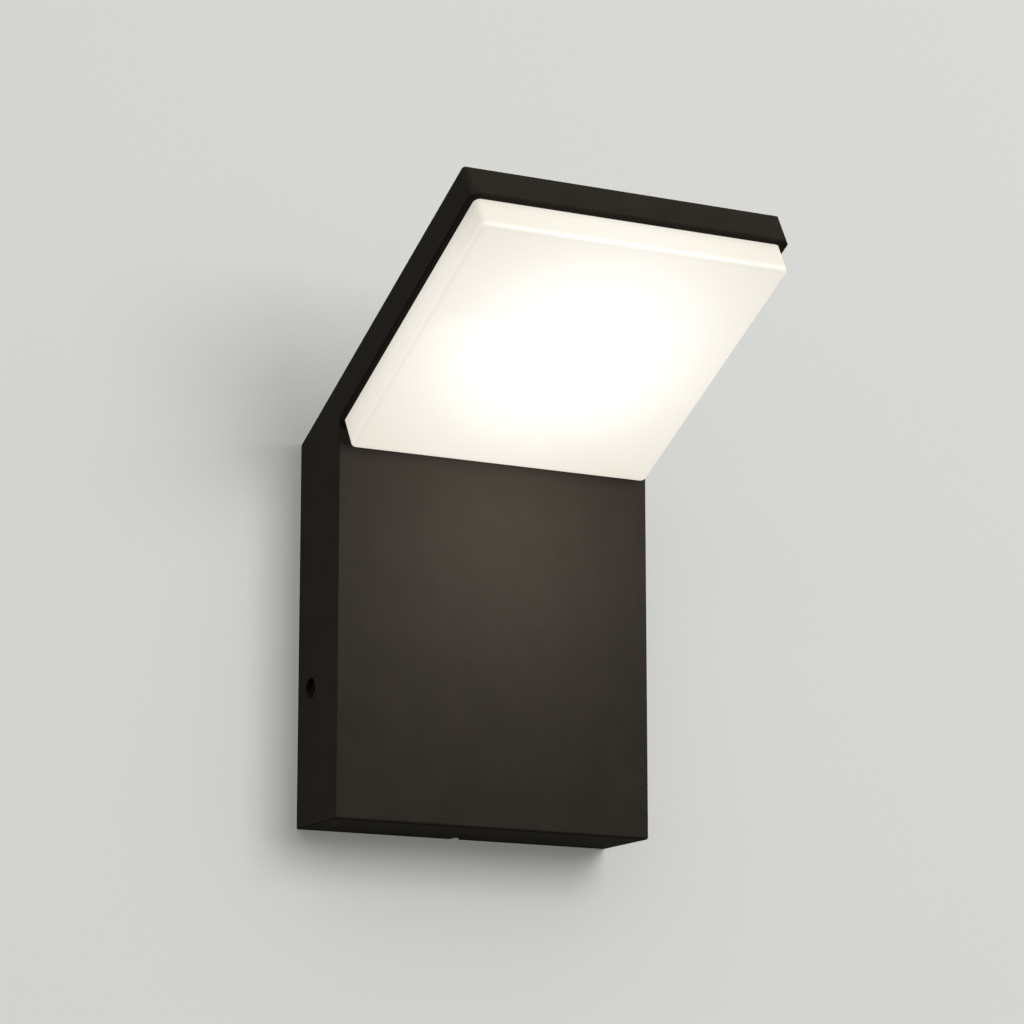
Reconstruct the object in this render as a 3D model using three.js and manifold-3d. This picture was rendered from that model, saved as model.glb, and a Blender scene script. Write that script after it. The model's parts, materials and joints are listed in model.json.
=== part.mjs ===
// Outdoor wall light. A slim box stands on the wall, and its head leans forward over it and
// carries an opal diffuser on its underside. Box and head are one die casting. It is held by two
// side set screws on a plate that stays on the wall.
//
// Millimetres, +Z up, +X to the right as seen from the front, +Y into the wall. The origin is on
// the wall plane, at the centre of the mounting plate, half way between its two screw slots.
import * as THREE from 'three';
import { mergeVertices } from 'three/addons/utils/BufferGeometryUtils.js';
import Module from 'manifold-3d';

// ---- Driving dimensions ----

// Casting
const BODY_WIDTH = 115;
const BOX_DEPTH = 30; // wall plane to the front face
const BOX_HEIGHT = 129; // underside to the kink in the back
const HEAD_LENGTH = 135; // kink to the head's end face, along the back
const HEAD_LEAN = 61.75; // degrees that the head leans forward of upright
const HEAD_THICKNESS = 12; // back of the head to the plane of its rim
const WALL = 2;
const HEAD_SKIN = 3.5; // metal behind the light board
const CORNER_RADIUS = 1.5;
const EDGE_RADIUS = 1.2;

// Recess in the head: an outer step for the diffuser and an inner pocket for the light board
const RECESS_OVERLAP = 2.66; // the recess runs this far in behind the front face's top edge
const LEDGE_DEPTH = 3; // rim plane to the ledge
const LEDGE_WIDTH = 3;
const PASSAGE_DIAMETER = 5; // wire passage between the box and the pocket
const BUSH_FLANGE = 1.2; // thickness of the rubber bush's flange
const BUSH_LIP = 1.1; // of the flange over the passage

// Drain notch in the rear edge of the box's floor
const NOTCH_WIDTH = 3.2;
const NOTCH_DEPTH = 4.6;

// Diffuser and its seal
const DIFFUSER_PROUD = 10.7; // how far it stands out of the rim plane
const DIFFUSER_WALL = 2.2;
const DIFFUSER_CORNER = 2.6;
const DIFFUSER_INNER_CORNER = 1.5;
const DIFFUSER_GAP = 0.35; // all round, to the rim
const SEAL_THICKNESS = 1;
const SEAL_WIDTH = 2.2;

// Light board
const BOARD_THICKNESS = 1.6;
const BOARD_MARGIN = 1.5; // to the pocket's walls
const BOARD_SCREW_INSET = 5;
const LED_COLUMNS = 4;
const LED_ROWS = 3;
const LED_PITCH_ACROSS = 17;
const LED_PITCH_ALONG = 19;
const LED_WIDTH = 3.5;
const LED_LENGTH = 2.8;
const LED_HEIGHT = 0.7;
const CONNECTOR_WIDTH = 7;
const CONNECTOR_LENGTH = 6;
const CONNECTOR_HEIGHT = 2.5;
const CONNECTOR_INSET = 1.5; // from the board's lower edge

// Mounting plate, with a pad behind it and a grommet for the supply cable
const PLATE_THICKNESS = 1.5;
const PLATE_RISE = 35; // above the wall screws
const PLATE_FLOOR_GAP = 8; // its lower edge to the floor of the box
const PLATE_CORNER = 4;
const PAD_THICKNESS = 1.5;
const PAD_SLOT_PLAY = 1; // the pad's slots are this much larger than the plate's
const TAB_HEIGHT = 18;
const TAB_REACH = 7; // past the set screws' axis
const TAB_GAP = 1; // tab to the end of the screw boss
const SLOT_SPACING = 60; // between the two wall screws
const SLOT_WIDTH = 5;
const SLOT_LENGTH = 14;
const CABLE_HOLE_HEIGHT = 18; // above the wall screws
const CABLE_HOLE_DIAMETER = 16;
const CABLE_DIAMETER = 9;
const GROMMET_LIP = 2; // of the grommet's flanges over the plate's hole

// Set screws
const SCREW_HEIGHT = 45; // above the underside of the box
const SCREW_FROM_WALL = 9.5;
const SET_SCREW_DIAMETER = 6;
const SET_SCREW_LENGTH = 6;
const SET_SCREW_SOCKET = 3; // across the flats
const SET_SCREW_SOCKET_DEPTH = 3;
const SET_SCREW_POINT = 1.5; // bevel of its point
const SET_SCREW_EDGE = 0.5; // bevel of its socket end
const SET_SCREW_PLAY = 0.4;
const BOSS_WALL = 2;
const BOSS_LENGTH = 5; // inward from the side wall

// Driver
const DRIVER_SIDE_GAP = 9.5; // its ears to the side walls
const DRIVER_HEIGHT = 36;
const DRIVER_DEPTH = 15.5; // case without its lid
const DRIVER_WALL = 1.6;
const DRIVER_BELOW_KINK = 12;
const DRIVER_EAR = 8;
const DRIVER_EAR_HEIGHT = 10;
const DRIVER_RIB = 1.5; // the circuit board stands on ribs this high
const LID_THICKNESS = 1.5;
const LID_PLUG = 1.2;
const TRANSFORMER_WIDTH = 18;
const TRANSFORMER_LENGTH = 16;
const CAPACITOR_DIAMETER = 9;
const CAPACITOR_OFFSET = 18; // from the middle of the driver

// Terminal block
const POLES = ['live', 'neutral', 'earth'];
const TERMINAL_PITCH = 11;
const TERMINAL_HEIGHT = 17;
const TERMINAL_DEPTH = 13;
const TERMINAL_ABOVE_FLOOR = 13;
const WIRE_PLAY = 2.2; // bore over lead
const WIRE_INSERTION = 12; // a lead's reach into the block
const CLAMP_SCREW_DIAMETER = 3.6;
const CLAMP_SLOT_DEPTH = 1;
const CLAMP_SLOT_WIDTH = 0.6;

// Earth point on the casting
const EARTH_OFFSET = 17.5; // from the terminal block's side
const LUG_DIAMETER = 8;
const LUG_THICKNESS = 0.8;
const LUG_TAIL = 9;
const CRIMP_LENGTH = 3; // of the earth lead on the tail

// Screws, studs and leads
const STUD_HEIGHT = 5;
const STUD_DIAMETER = 7;
const SCREW_DIAMETER = 3;
const SCREW_HEAD_DIAMETER = 5.6;
const SCREW_HEAD_HEIGHT = 2;
const SCREW_EDGE = 0.5; // bevel of its head and point
const CROSS_SPAN = 3.6;
const CROSS_WIDTH = 0.5;
const CROSS_DEPTH = 1;
const SCREW_PLAY = 0.4; // hole over shank
const SCREW_BITE = 3.8; // how far a screw reaches into its stud
const BOARD_SCREW_BITE = 2.3;
const DRILL_SPARE = 0.75; // a stud's hole below the screw's point
const LEAD_DIAMETER = 1.3;
const LEAD_SPACING = 0.2; // between the light board's two leads
const MAINS_LEAD_DIAMETER = 2.2;
const SEAT_GAP = 0.3; // between pieces that rest on each other in the turned head

// ---- What follows from them ----

const LEAN = THREE.MathUtils.degToRad(HEAD_LEAN);
const FLOOR_Z = -SCREW_HEIGHT;
const KINK_Z = FLOOR_Z + BOX_HEIGHT;
const FRONT_INSIDE = -BOX_DEPTH + WALL;
const STUD_TOP = FRONT_INSIDE + STUD_HEIGHT;
const SIDE_INSIDE = BODY_WIDTH / 2 - WALL;
const PLATE_FRONT = -PAD_THICKNESS - PLATE_THICKNESS;
const BOSS_END = SIDE_INSIDE - BOSS_LENGTH;
const PLATE_WIDTH = 2 * (BOSS_END - TAB_GAP);
const PLATE_BOTTOM = FLOOR_Z + WALL + PLATE_FLOOR_GAP;
const PLATE_HEIGHT = PLATE_RISE - PLATE_BOTTOM;

// Along the head (from the kink) and out of it (from its back)
const RIM_START = (BOX_DEPTH - HEAD_THICKNESS * Math.cos(LEAN)) / Math.sin(LEAN);
const RECESS_START = RIM_START - RECESS_OVERLAP;
const RECESS_END = HEAD_LENGTH - WALL;
const LEDGE_LEVEL = HEAD_THICKNESS - LEDGE_DEPTH;
const POCKET_START = RECESS_START + LEDGE_WIDTH;
const POCKET_END = RECESS_END - LEDGE_WIDTH;
const PASSAGE_LEVEL = (HEAD_SKIN + LEDGE_LEVEL) / 2;
const WEB_START = RECESS_START - WALL; // the metal between box and recess starts here
const BOARD_BACK = HEAD_SKIN + SEAT_GAP;
const BOARD_FRONT = BOARD_BACK + BOARD_THICKNESS;
const BOARD_START = POCKET_START + BOARD_MARGIN;
const BOARD_END = POCKET_END - BOARD_MARGIN;
const BOARD_WIDTH = 2 * (SIDE_INSIDE - LEDGE_WIDTH - BOARD_MARGIN);
const SEAL_BACK = LEDGE_LEVEL + SEAT_GAP;
const DIFFUSER_BACK = SEAL_BACK + SEAL_THICKNESS + SEAT_GAP;
const DIFFUSER_FRONT = HEAD_THICKNESS + DIFFUSER_PROUD;
const DIFFUSER_WIDTH = 2 * (SIDE_INSIDE - DIFFUSER_GAP);
const DIFFUSER_START = RECESS_START + DIFFUSER_GAP;
const DIFFUSER_END = RECESS_END - DIFFUSER_GAP;

const DRIVER_Z = KINK_Z - DRIVER_BELOW_KINK - DRIVER_HEIGHT / 2;
const DRIVER_WIDTH = 2 * (SIDE_INSIDE - DRIVER_SIDE_GAP - DRIVER_EAR);
const DRIVER_EAR_X = DRIVER_WIDTH / 2 + DRIVER_EAR / 2;
const TERMINAL_WIDTH = TERMINAL_PITCH * POLES.length;
const TERMINAL_Z = FLOOR_Z + WALL + TERMINAL_ABOVE_FLOOR + TERMINAL_HEIGHT / 2;
const TERMINAL_TOP = TERMINAL_Z + TERMINAL_HEIGHT / 2;
const WIRE_Y = STUD_TOP + TERMINAL_DEPTH / 2;
const WIRE_BORE = MAINS_LEAD_DIAMETER + WIRE_PLAY;
const CLAMP_SCREW_LENGTH = TERMINAL_DEPTH / 2 - MAINS_LEAD_DIAMETER / 2 - SEAT_GAP;
const EARTH_X = TERMINAL_WIDTH / 2 + EARTH_OFFSET;
const SCREW_HOLE = SCREW_DIAMETER + SCREW_PLAY;
const LEAD_X = (LEAD_DIAMETER + LEAD_SPACING) / 2;

const BEYOND = 3; // cutters and trimmed stock run past a surface by this much
const CIRCLE_SIDES = 32;
const SMALL_CIRCLE_SIDES = 16;
const CORNER_STEPS = 4;
const EDGE_STEPS = 3;
const LEAD_SIDES = 8;
const LEAD_STEP = 1.25; // diameters of a lead to one step along it

const wasm = await Module();
wasm.setup();

// ---- Materials ----

function finish(color, roughness, metalness = 0) {
  return () => new THREE.MeshStandardMaterial({ color, roughness, metalness });
}

const PAINT = finish('#3b3733', 0.55);
const OPAL = finish('#f6f1e6', 0.35);
const SILICONE = finish('#c9c7c2', 0.8);
const BLACK_RUBBER = finish('#1c1c1c', 0.85);
const BOARD_WHITE = finish('#eceae4', 0.4);
const PHOSPHOR = finish('#e9c648', 0.5);
const ZINC = finish('#b9bcc0', 0.35, 1);
const BLACK_STEEL = finish('#2a2a2b', 0.45, 1);
const DRIVER_PLASTIC = finish('#e4e3df', 0.5);
const GREEN_BOARD = finish('#2c5a3a', 0.5);
const FERRITE = finish('#d8b53c', 0.6);
const CAPACITOR_SLEEVE = finish('#23272e', 0.4);
const NYLON = finish('#dfe2de', 0.45);
const NICKEL = finish('#c4c1b8', 0.3, 1);
const RED = finish('#b0322b', 0.5);
const BLACK = finish('#202022', 0.5);
const BROWN = finish('#6b3f25', 0.5);
const BLUE = finish('#2f5f9e', 0.5);
const GREEN_YELLOW = finish('#7c9a34', 0.5);

// ---- Solids, outlines and booleans ----

// A closed geometry as a manifold-3d solid, without the slivers that a lathe leaves on its axis.
function solid(geometry) {
  const bare = geometry.index ? geometry.clone() : geometry;
  bare.deleteAttribute('normal');
  bare.deleteAttribute('uv');
  const merged = mergeVertices(bare, 1e-4);
  const index = merged.index.array;
  const triVerts = [];
  for (let i = 0; i < index.length; i += 3) {
    const [a, b, c] = [index[i], index[i + 1], index[i + 2]];
    if (a !== b && b !== c && c !== a) triVerts.push(a, b, c);
  }
  return new wasm.Manifold(new wasm.Mesh({
    numProp: 3,
    vertProperties: new Float32Array(merged.attributes.position.array),
    triVerts: new Uint32Array(triVerts),
  }));
}

function geometryOf(body) {
  const mesh = body.getMesh();
  const geometry = new THREE.BufferGeometry();
  geometry.setAttribute('position', new THREE.BufferAttribute(mesh.vertProperties, 3));
  geometry.setIndex(new THREE.BufferAttribute(mesh.triVerts, 1));
  geometry.computeVertexNormals();
  return geometry;
}

function join(first, ...others) {
  return others.reduce((body, other) => body.add(solid(other)), solid(first));
}

function cut(body, ...tools) {
  return tools.reduce((rest, tool) => rest.subtract(solid(tool)), body);
}

// Box between two corners, given as [x, y, z].
function block(low, high) {
  const size = high.map((value, axis) => value - low[axis]);
  const geometry = new THREE.BoxGeometry(...size);
  return geometry.translate(...low.map((value, axis) => value + size[axis] / 2));
}

// Round bar between two values along one axis, centred on (a, b) in the other two.
function bar(axis, radius, from, to, a, b, sides = CIRCLE_SIDES) {
  const geometry = new THREE.CylinderGeometry(radius, radius, Math.abs(to - from), sides);
  const middle = (from + to) / 2;
  if (axis === 'x') return geometry.rotateZ(Math.PI / 2).translate(middle, a, b);
  if (axis === 'z') return geometry.rotateX(Math.PI / 2).translate(a, b, middle);
  return geometry.translate(a, middle, b);
}

// Outline through corner points; each corner has its own radius, 0 for a sharp one.
function outline(corners, radii) {
  const shape = new THREE.Shape();
  corners.forEach((corner, i) => {
    const before = corners.at(i - 1);
    const after = corners[(i + 1) % corners.length];
    const start = corner.clone().lerp(before, radii[i] / corner.distanceTo(before));
    const end = corner.clone().lerp(after, radii[i] / corner.distanceTo(after));
    if (i === 0) shape.moveTo(start.x, start.y);
    else shape.lineTo(start.x, start.y);
    if (radii[i] > 0) shape.quadraticCurveTo(corner.x, corner.y, end.x, end.y);
  });
  shape.closePath();
  return shape;
}

function roundedRectangle(width, height, radius, x = 0, z = 0) {
  const corner = (sideX, sideZ) => new THREE.Vector2(x + (sideX * width) / 2, z + (sideZ * height) / 2);
  const corners = [corner(-1, -1), corner(1, -1), corner(1, 1), corner(-1, 1)];
  return outline(corners, corners.map(() => radius));
}

// An outline in X and Z as a slab from one y to a lower one, which is further forward.
function slab(shape, back, front) {
  const settings = { depth: back - front, bevelEnabled: false, curveSegments: 4 };
  return new THREE.ExtrudeGeometry(shape, settings).rotateX(Math.PI / 2).translate(0, back, 0);
}

// Corners in Y and Z, anticlockwise seen from +X, drawn in by an inset. The sides stay parallel
// and a round corner shrinks with them, though never to nothing.
function insetLoop(corners, radii, inset) {
  const sides = corners.map((corner, i) => {
    const along = corners[(i + 1) % corners.length].clone().sub(corner).normalize();
    const inward = new THREE.Vector2(-along.y, along.x).multiplyScalar(inset);
    return { start: corner.clone().add(inward), along };
  });
  const moved = sides.map(({ start, along }, i) => {
    const before = sides.at(i - 1);
    const reach = start.clone().sub(before.start).cross(along) / before.along.cross(along);
    return before.start.clone().addScaledVector(before.along, reach);
  });
  const left = radii.map((radius) => Math.max(radius - inset, radius / CIRCLE_SIDES));
  return outline(moved, left).getPoints(CORNER_STEPS).slice(0, -1);
}

// A solid across X, centred on x = 0, with the rims of its two side faces rounded.
function prism(corners, radii, width, edge = 0) {
  const half = [];
  const steps = edge > 0 ? EDGE_STEPS : 0;
  for (let i = 0; i <= steps; i += 1) {
    const turn = steps > 0 ? (i / steps) * (Math.PI / 2) : 0;
    half.push([width / 2 - edge * (1 - Math.cos(turn)), edge * (1 - Math.sin(turn))]);
  }
  const stations = [...half.map(([x, inset]) => [-x, inset]), ...half.toReversed()];
  const loops = stations.map(([x, inset]) => (
    insetLoop(corners, radii, inset).map(({ x: y, y: z }) => [x, y, z])
  ));
  const count = loops[0].length;
  const index = [];
  for (let k = 0; k + 1 < loops.length; k += 1) {
    for (let i = 0; i < count; i += 1) {
      const [a, b] = [k * count + i, k * count + ((i + 1) % count)];
      index.push(a, b, b + count, a, b + count, a + count);
    }
  }
  const last = (loops.length - 1) * count;
  const capPoints = (loop) => loop.map(([, y, z]) => new THREE.Vector2(y, z));
  for (const [a, b, c] of THREE.ShapeUtils.triangulateShape(capPoints(loops[0]), [])) {
    index.push(c, b, a, last + a, last + b, last + c);
  }
  const geometry = new THREE.BufferGeometry();
  geometry.setAttribute('position', new THREE.Float32BufferAttribute(loops.flat(2), 3));
  return geometry.setIndex(index);
}

// A straight slot with round ends, cut through along Y.
function slotCutter(x, z, length, width, back, front) {
  const ends = (length - width) / 2;
  return [
    block([x - ends, front, z - width / 2], [x + ends, back, z + width / 2]),
    bar('y', width / 2, front, back, x - ends, z, SMALL_CIRCLE_SIDES),
    bar('y', width / 2, front, back, x + ends, z, SMALL_CIRCLE_SIDES),
  ];
}

// A round lead along a smooth curve through the points.
function lead(points, diameter) {
  const section = new THREE.Shape();
  for (let i = 0; i < LEAD_SIDES; i += 1) {
    const angle = (2 * Math.PI * i) / LEAD_SIDES;
    const [x, y] = [(Math.cos(angle) * diameter) / 2, (Math.sin(angle) * diameter) / 2];
    if (i === 0) section.moveTo(x, y);
    else section.lineTo(x, y);
  }
  section.closePath();
  const extrudePath = new THREE.CatmullRomCurve3(points);
  const steps = Math.ceil(extrudePath.getLength() / (LEAD_STEP * diameter));
  return new THREE.ExtrudeGeometry(section, { steps, extrudePath });
}

// Pan-head screw on the Y axis, with its seat at y = 0, its head above and a cross recess.
function panHeadScrew(shankLength) {
  const profile = [
    [0, -shankLength],
    [SCREW_DIAMETER / 2 - SCREW_EDGE, -shankLength],
    [SCREW_DIAMETER / 2, -shankLength + SCREW_EDGE],
    [SCREW_DIAMETER / 2, 0],
    [SCREW_HEAD_DIAMETER / 2, 0],
    [SCREW_HEAD_DIAMETER / 2, SCREW_HEAD_HEIGHT - SCREW_EDGE],
    [SCREW_HEAD_DIAMETER / 2 - SCREW_EDGE, SCREW_HEAD_HEIGHT],
    [0, SCREW_HEAD_HEIGHT],
  ].map(([radius, y]) => new THREE.Vector2(radius, y));
  const [arm, half] = [CROSS_SPAN / 2, CROSS_WIDTH / 2];
  const bottom = SCREW_HEAD_HEIGHT - CROSS_DEPTH;
  const top = SCREW_HEAD_HEIGHT + BEYOND;
  return cut(
    solid(new THREE.LatheGeometry(profile, SMALL_CIRCLE_SIDES)),
    block([-arm, bottom, -half], [arm, top, half]),
    block([-half, bottom, -arm], [half, top, arm]),
  );
}

const light = new THREE.Group();

// Names a piece, gives it its own material and places it in its group.
function place(parent, name, shape, material, position = [0, 0, 0], rotation = [0, 0, 0]) {
  const geometry = shape instanceof THREE.BufferGeometry ? shape : geometryOf(shape);
  const mesh = new THREE.Mesh(geometry, material());
  mesh.name = name;
  mesh.position.set(...position);
  mesh.rotation.set(...rotation);
  parent.add(mesh);
  return mesh;
}

// ---- The head's own frame ----
// Its origin is the kink and its Z runs along the head, so that -Y is out of the diffuser.

const head = new THREE.Group();
head.position.z = KINK_Z;
head.rotation.x = LEAN;
head.updateMatrixWorld();

// A point of the head, from its distance along the head and out of its back.
function headPoint(x, level, along) {
  return new THREE.Vector3(x, -level, along).applyMatrix4(head.matrixWorld);
}

// The same point as an outline corner in Y and Z.
function headCorner(level, along) {
  const point = headPoint(0, level, along);
  return new THREE.Vector2(point.y, point.z);
}

// How far along the head a level of it crosses a plane of constant y.
function alongAtY(level, y) {
  return (-y - level * Math.cos(LEAN)) / Math.sin(LEAN);
}

// How far out of the head's back a station along it crosses a plane of constant y.
function levelAtY(along, y) {
  return (-y - along * Math.sin(LEAN)) / Math.cos(LEAN);
}

// ---- Casting ----

function castingStock() {
  const corners = [
    new THREE.Vector2(BEYOND, FLOOR_Z),
    headCorner(0, alongAtY(0, BEYOND)),
    headCorner(0, HEAD_LENGTH),
    headCorner(HEAD_THICKNESS, HEAD_LENGTH),
    headCorner(HEAD_THICKNESS, RIM_START),
    new THREE.Vector2(-BOX_DEPTH, FLOOR_Z),
  ];
  const radii = [0, 0, CORNER_RADIUS, CORNER_RADIUS, 0, CORNER_RADIUS];
  const stock = solid(prism(corners, radii, BODY_WIDTH, EDGE_RADIUS));
  const reach = BODY_WIDTH + HEAD_LENGTH;
  return cut(stock, block([-reach, 0, -reach], [reach, reach, reach]));
}

function boxHollow() {
  const corners = [
    new THREE.Vector2(BEYOND, FLOOR_Z + WALL),
    headCorner(WALL, alongAtY(WALL, BEYOND)),
    headCorner(WALL, WEB_START),
    headCorner(levelAtY(WEB_START, FRONT_INSIDE), WEB_START),
    new THREE.Vector2(FRONT_INSIDE, FLOOR_Z + WALL),
  ];
  return prism(corners, corners.map(() => 0), 2 * SIDE_INSIDE);
}

// Rounded pocket in the head, from a level outward past everything in front of it.
function headPocket(halfWidth, start, end, level, radius) {
  const shape = roundedRectangle(2 * halfWidth, end - start, radius, 0, (start + end) / 2);
  const outward = -DIFFUSER_FRONT - BEYOND;
  return slab(shape, -level, outward).applyMatrix4(head.matrixWorld);
}

function studs() {
  const places = [
    [-DRIVER_EAR_X, DRIVER_Z],
    [DRIVER_EAR_X, DRIVER_Z],
    [-TERMINAL_PITCH / 2, TERMINAL_Z],
    [TERMINAL_PITCH / 2, TERMINAL_Z],
    [EARTH_X, TERMINAL_Z],
  ];
  const root = FRONT_INSIDE - WALL / 2;
  const drillEnd = STUD_TOP - SCREW_BITE - DRILL_SPARE;
  return {
    bars: places.map(([x, z]) => bar('y', STUD_DIAMETER / 2, root, STUD_TOP, x, z)),
    drills: places.map(([x, z]) => (
      bar('y', SCREW_HOLE / 2, drillEnd, STUD_TOP + BEYOND, x, z, SMALL_CIRCLE_SIDES)
    )),
  };
}

function boardScrewPlaces() {
  const x = BOARD_WIDTH / 2 - BOARD_SCREW_INSET;
  const low = BOARD_START + BOARD_SCREW_INSET;
  const high = BOARD_END - BOARD_SCREW_INSET;
  return [[-x, low], [x, low], [x, high], [-x, high]];
}

function casting() {
  const boreRadius = SET_SCREW_DIAMETER / 2 + SET_SCREW_PLAY;
  const bossRadius = boreRadius + BOSS_WALL;
  const bossRoot = SIDE_INSIDE + WALL / 2;
  const outside = BODY_WIDTH / 2 + BEYOND;
  const { bars, drills } = studs();
  const floor = FLOOR_Z + WALL + BEYOND;
  const notchEnd = -NOTCH_DEPTH + NOTCH_WIDTH / 2;
  const ledgeCorner = DIFFUSER_CORNER + DIFFUSER_GAP;
  const tools = [
    headPocket(SIDE_INSIDE, RECESS_START, RECESS_END, LEDGE_LEVEL, ledgeCorner),
    headPocket(SIDE_INSIDE - LEDGE_WIDTH, POCKET_START, POCKET_END, HEAD_SKIN, ledgeCorner),
    bar('z', PASSAGE_DIAMETER / 2, WEB_START - WALL, POCKET_START + WALL, 0, -PASSAGE_LEVEL)
      .applyMatrix4(head.matrixWorld),
    block([-NOTCH_WIDTH / 2, notchEnd, FLOOR_Z - BEYOND], [NOTCH_WIDTH / 2, BEYOND, floor]),
    bar('z', NOTCH_WIDTH / 2, FLOOR_Z - BEYOND, floor, 0, notchEnd, SMALL_CIRCLE_SIDES),
    bar('x', boreRadius, -outside, -BOSS_END + BEYOND, -SCREW_FROM_WALL, 0),
    bar('x', boreRadius, BOSS_END - BEYOND, outside, -SCREW_FROM_WALL, 0),
    ...drills,
  ];
  for (const [x, along] of boardScrewPlaces()) {
    const depth = HEAD_SKIN - BOARD_SCREW_BITE - SEAT_GAP;
    const drill = bar('y', SCREW_HOLE / 2, -HEAD_SKIN - BEYOND, -depth, x, along, SMALL_CIRCLE_SIDES);
    tools.push(drill.applyMatrix4(head.matrixWorld));
  }
  const additions = [
    bar('x', bossRadius, -bossRoot, -BOSS_END, -SCREW_FROM_WALL, 0),
    bar('x', bossRadius, BOSS_END, bossRoot, -SCREW_FROM_WALL, 0),
    ...bars,
  ];
  let body = cut(castingStock(), boxHollow());
  for (const addition of additions) body = body.add(solid(addition));
  return cut(body, ...tools);
}

const housing = new THREE.Group();
light.add(housing);
housing.add(head);
place(housing, 'housing', casting(), PAINT);

// ---- Optics, in the head ----

function diffuser() {
  const middle = (DIFFUSER_START + DIFFUSER_END) / 2;
  const length = DIFFUSER_END - DIFFUSER_START;
  const outer = roundedRectangle(DIFFUSER_WIDTH, length, DIFFUSER_CORNER, 0, middle);
  const innerWidth = DIFFUSER_WIDTH - 2 * DIFFUSER_WALL;
  const innerLength = length - 2 * DIFFUSER_WALL;
  const inner = roundedRectangle(innerWidth, innerLength, DIFFUSER_INNER_CORNER, 0, middle);
  return cut(
    solid(slab(outer, -DIFFUSER_BACK, -DIFFUSER_FRONT)),
    slab(inner, BEYOND - DIFFUSER_BACK, DIFFUSER_WALL - DIFFUSER_FRONT),
  );
}

function diffuserSeal() {
  const middle = (DIFFUSER_START + DIFFUSER_END) / 2;
  const length = DIFFUSER_END - DIFFUSER_START;
  const outer = roundedRectangle(DIFFUSER_WIDTH, length, DIFFUSER_CORNER, 0, middle);
  const innerWidth = DIFFUSER_WIDTH - 2 * SEAL_WIDTH;
  const inner = roundedRectangle(innerWidth, length - 2 * SEAL_WIDTH, DIFFUSER_CORNER, 0, middle);
  return cut(
    solid(slab(outer, -SEAL_BACK, -SEAL_BACK - SEAL_THICKNESS)),
    slab(inner, BEYOND - SEAL_BACK, -SEAL_BACK - SEAL_THICKNESS - BEYOND),
  );
}

function lightBoard() {
  const halfWidth = BOARD_WIDTH / 2;
  const board = block([-halfWidth, -BOARD_FRONT, BOARD_START], [halfWidth, -BOARD_BACK, BOARD_END]);
  const holes = boardScrewPlaces().map(([x, along]) => (
    bar('y', SCREW_HOLE / 2, -BOARD_FRONT - BEYOND, BEYOND - BOARD_BACK, x, along, SMALL_CIRCLE_SIDES)
  ));
  return cut(solid(board), ...holes);
}

place(head, 'diffuser', diffuser(), OPAL);
place(head, 'diffuser_seal', diffuserSeal(), SILICONE);
place(head, 'light_board', lightBoard(), BOARD_WHITE);

boardScrewPlaces().forEach(([x, along], i) => {
  const screw = panHeadScrew(BOARD_THICKNESS + BOARD_SCREW_BITE);
  const seat = -BOARD_FRONT - SEAT_GAP;
  place(head, `board_screw_${i + 1}`, screw, ZINC, [x, seat, along], [Math.PI, 0, 0]);
});

const LED_LEVEL = BOARD_FRONT + SEAT_GAP + LED_HEIGHT / 2;
const BOARD_MIDDLE = (BOARD_START + BOARD_END) / 2;
for (let row = 0; row < LED_ROWS; row += 1) {
  for (let column = 0; column < LED_COLUMNS; column += 1) {
    const x = (column - (LED_COLUMNS - 1) / 2) * LED_PITCH_ACROSS;
    const along = BOARD_MIDDLE + (row - (LED_ROWS - 1) / 2) * LED_PITCH_ALONG;
    const chip = new THREE.BoxGeometry(LED_WIDTH, LED_HEIGHT, LED_LENGTH);
    place(head, `led_${row * LED_COLUMNS + column + 1}`, chip, PHOSPHOR, [x, -LED_LEVEL, along]);
  }
}

const CONNECTOR_LEVEL = BOARD_FRONT + SEAT_GAP + CONNECTOR_HEIGHT / 2;
const CONNECTOR_START = BOARD_START + CONNECTOR_INSET;
place(
  head,
  'board_connector',
  new THREE.BoxGeometry(CONNECTOR_WIDTH, CONNECTOR_HEIGHT, CONNECTOR_LENGTH),
  NYLON,
  [0, -CONNECTOR_LEVEL, CONNECTOR_START + CONNECTOR_LENGTH / 2],
);

// Rubber bush in the wire passage, with its flange on the box's side.
function passageBush() {
  const outer = PASSAGE_DIAMETER / 2 - SEAT_GAP;
  const inner = LEAD_X + LEAD_DIAMETER / 2 + SEAT_GAP;
  const flange = outer + BUSH_LIP;
  const seat = WEB_START - SEAT_GAP;
  const profile = [
    [inner, seat - BUSH_FLANGE],
    [flange, seat - BUSH_FLANGE],
    [flange, seat],
    [outer, seat],
    [outer, POCKET_START - SEAT_GAP],
    [inner, POCKET_START - SEAT_GAP],
    [inner, seat - BUSH_FLANGE],
  ].map(([radius, y]) => new THREE.Vector2(radius, y));
  return new THREE.LatheGeometry(profile, SMALL_CIRCLE_SIDES);
}

place(head, 'passage_bush', passageBush(), BLACK_RUBBER, [0, -PASSAGE_LEVEL, 0], [Math.PI / 2, 0, 0]);

// ---- Driver, in the box ----

const DRIVER_BACK = STUD_TOP + DRIVER_DEPTH;
const DRIVER_TOP = DRIVER_Z + DRIVER_HEIGHT / 2;
const DRIVER_BOTTOM = DRIVER_Z - DRIVER_HEIGHT / 2;

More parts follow.
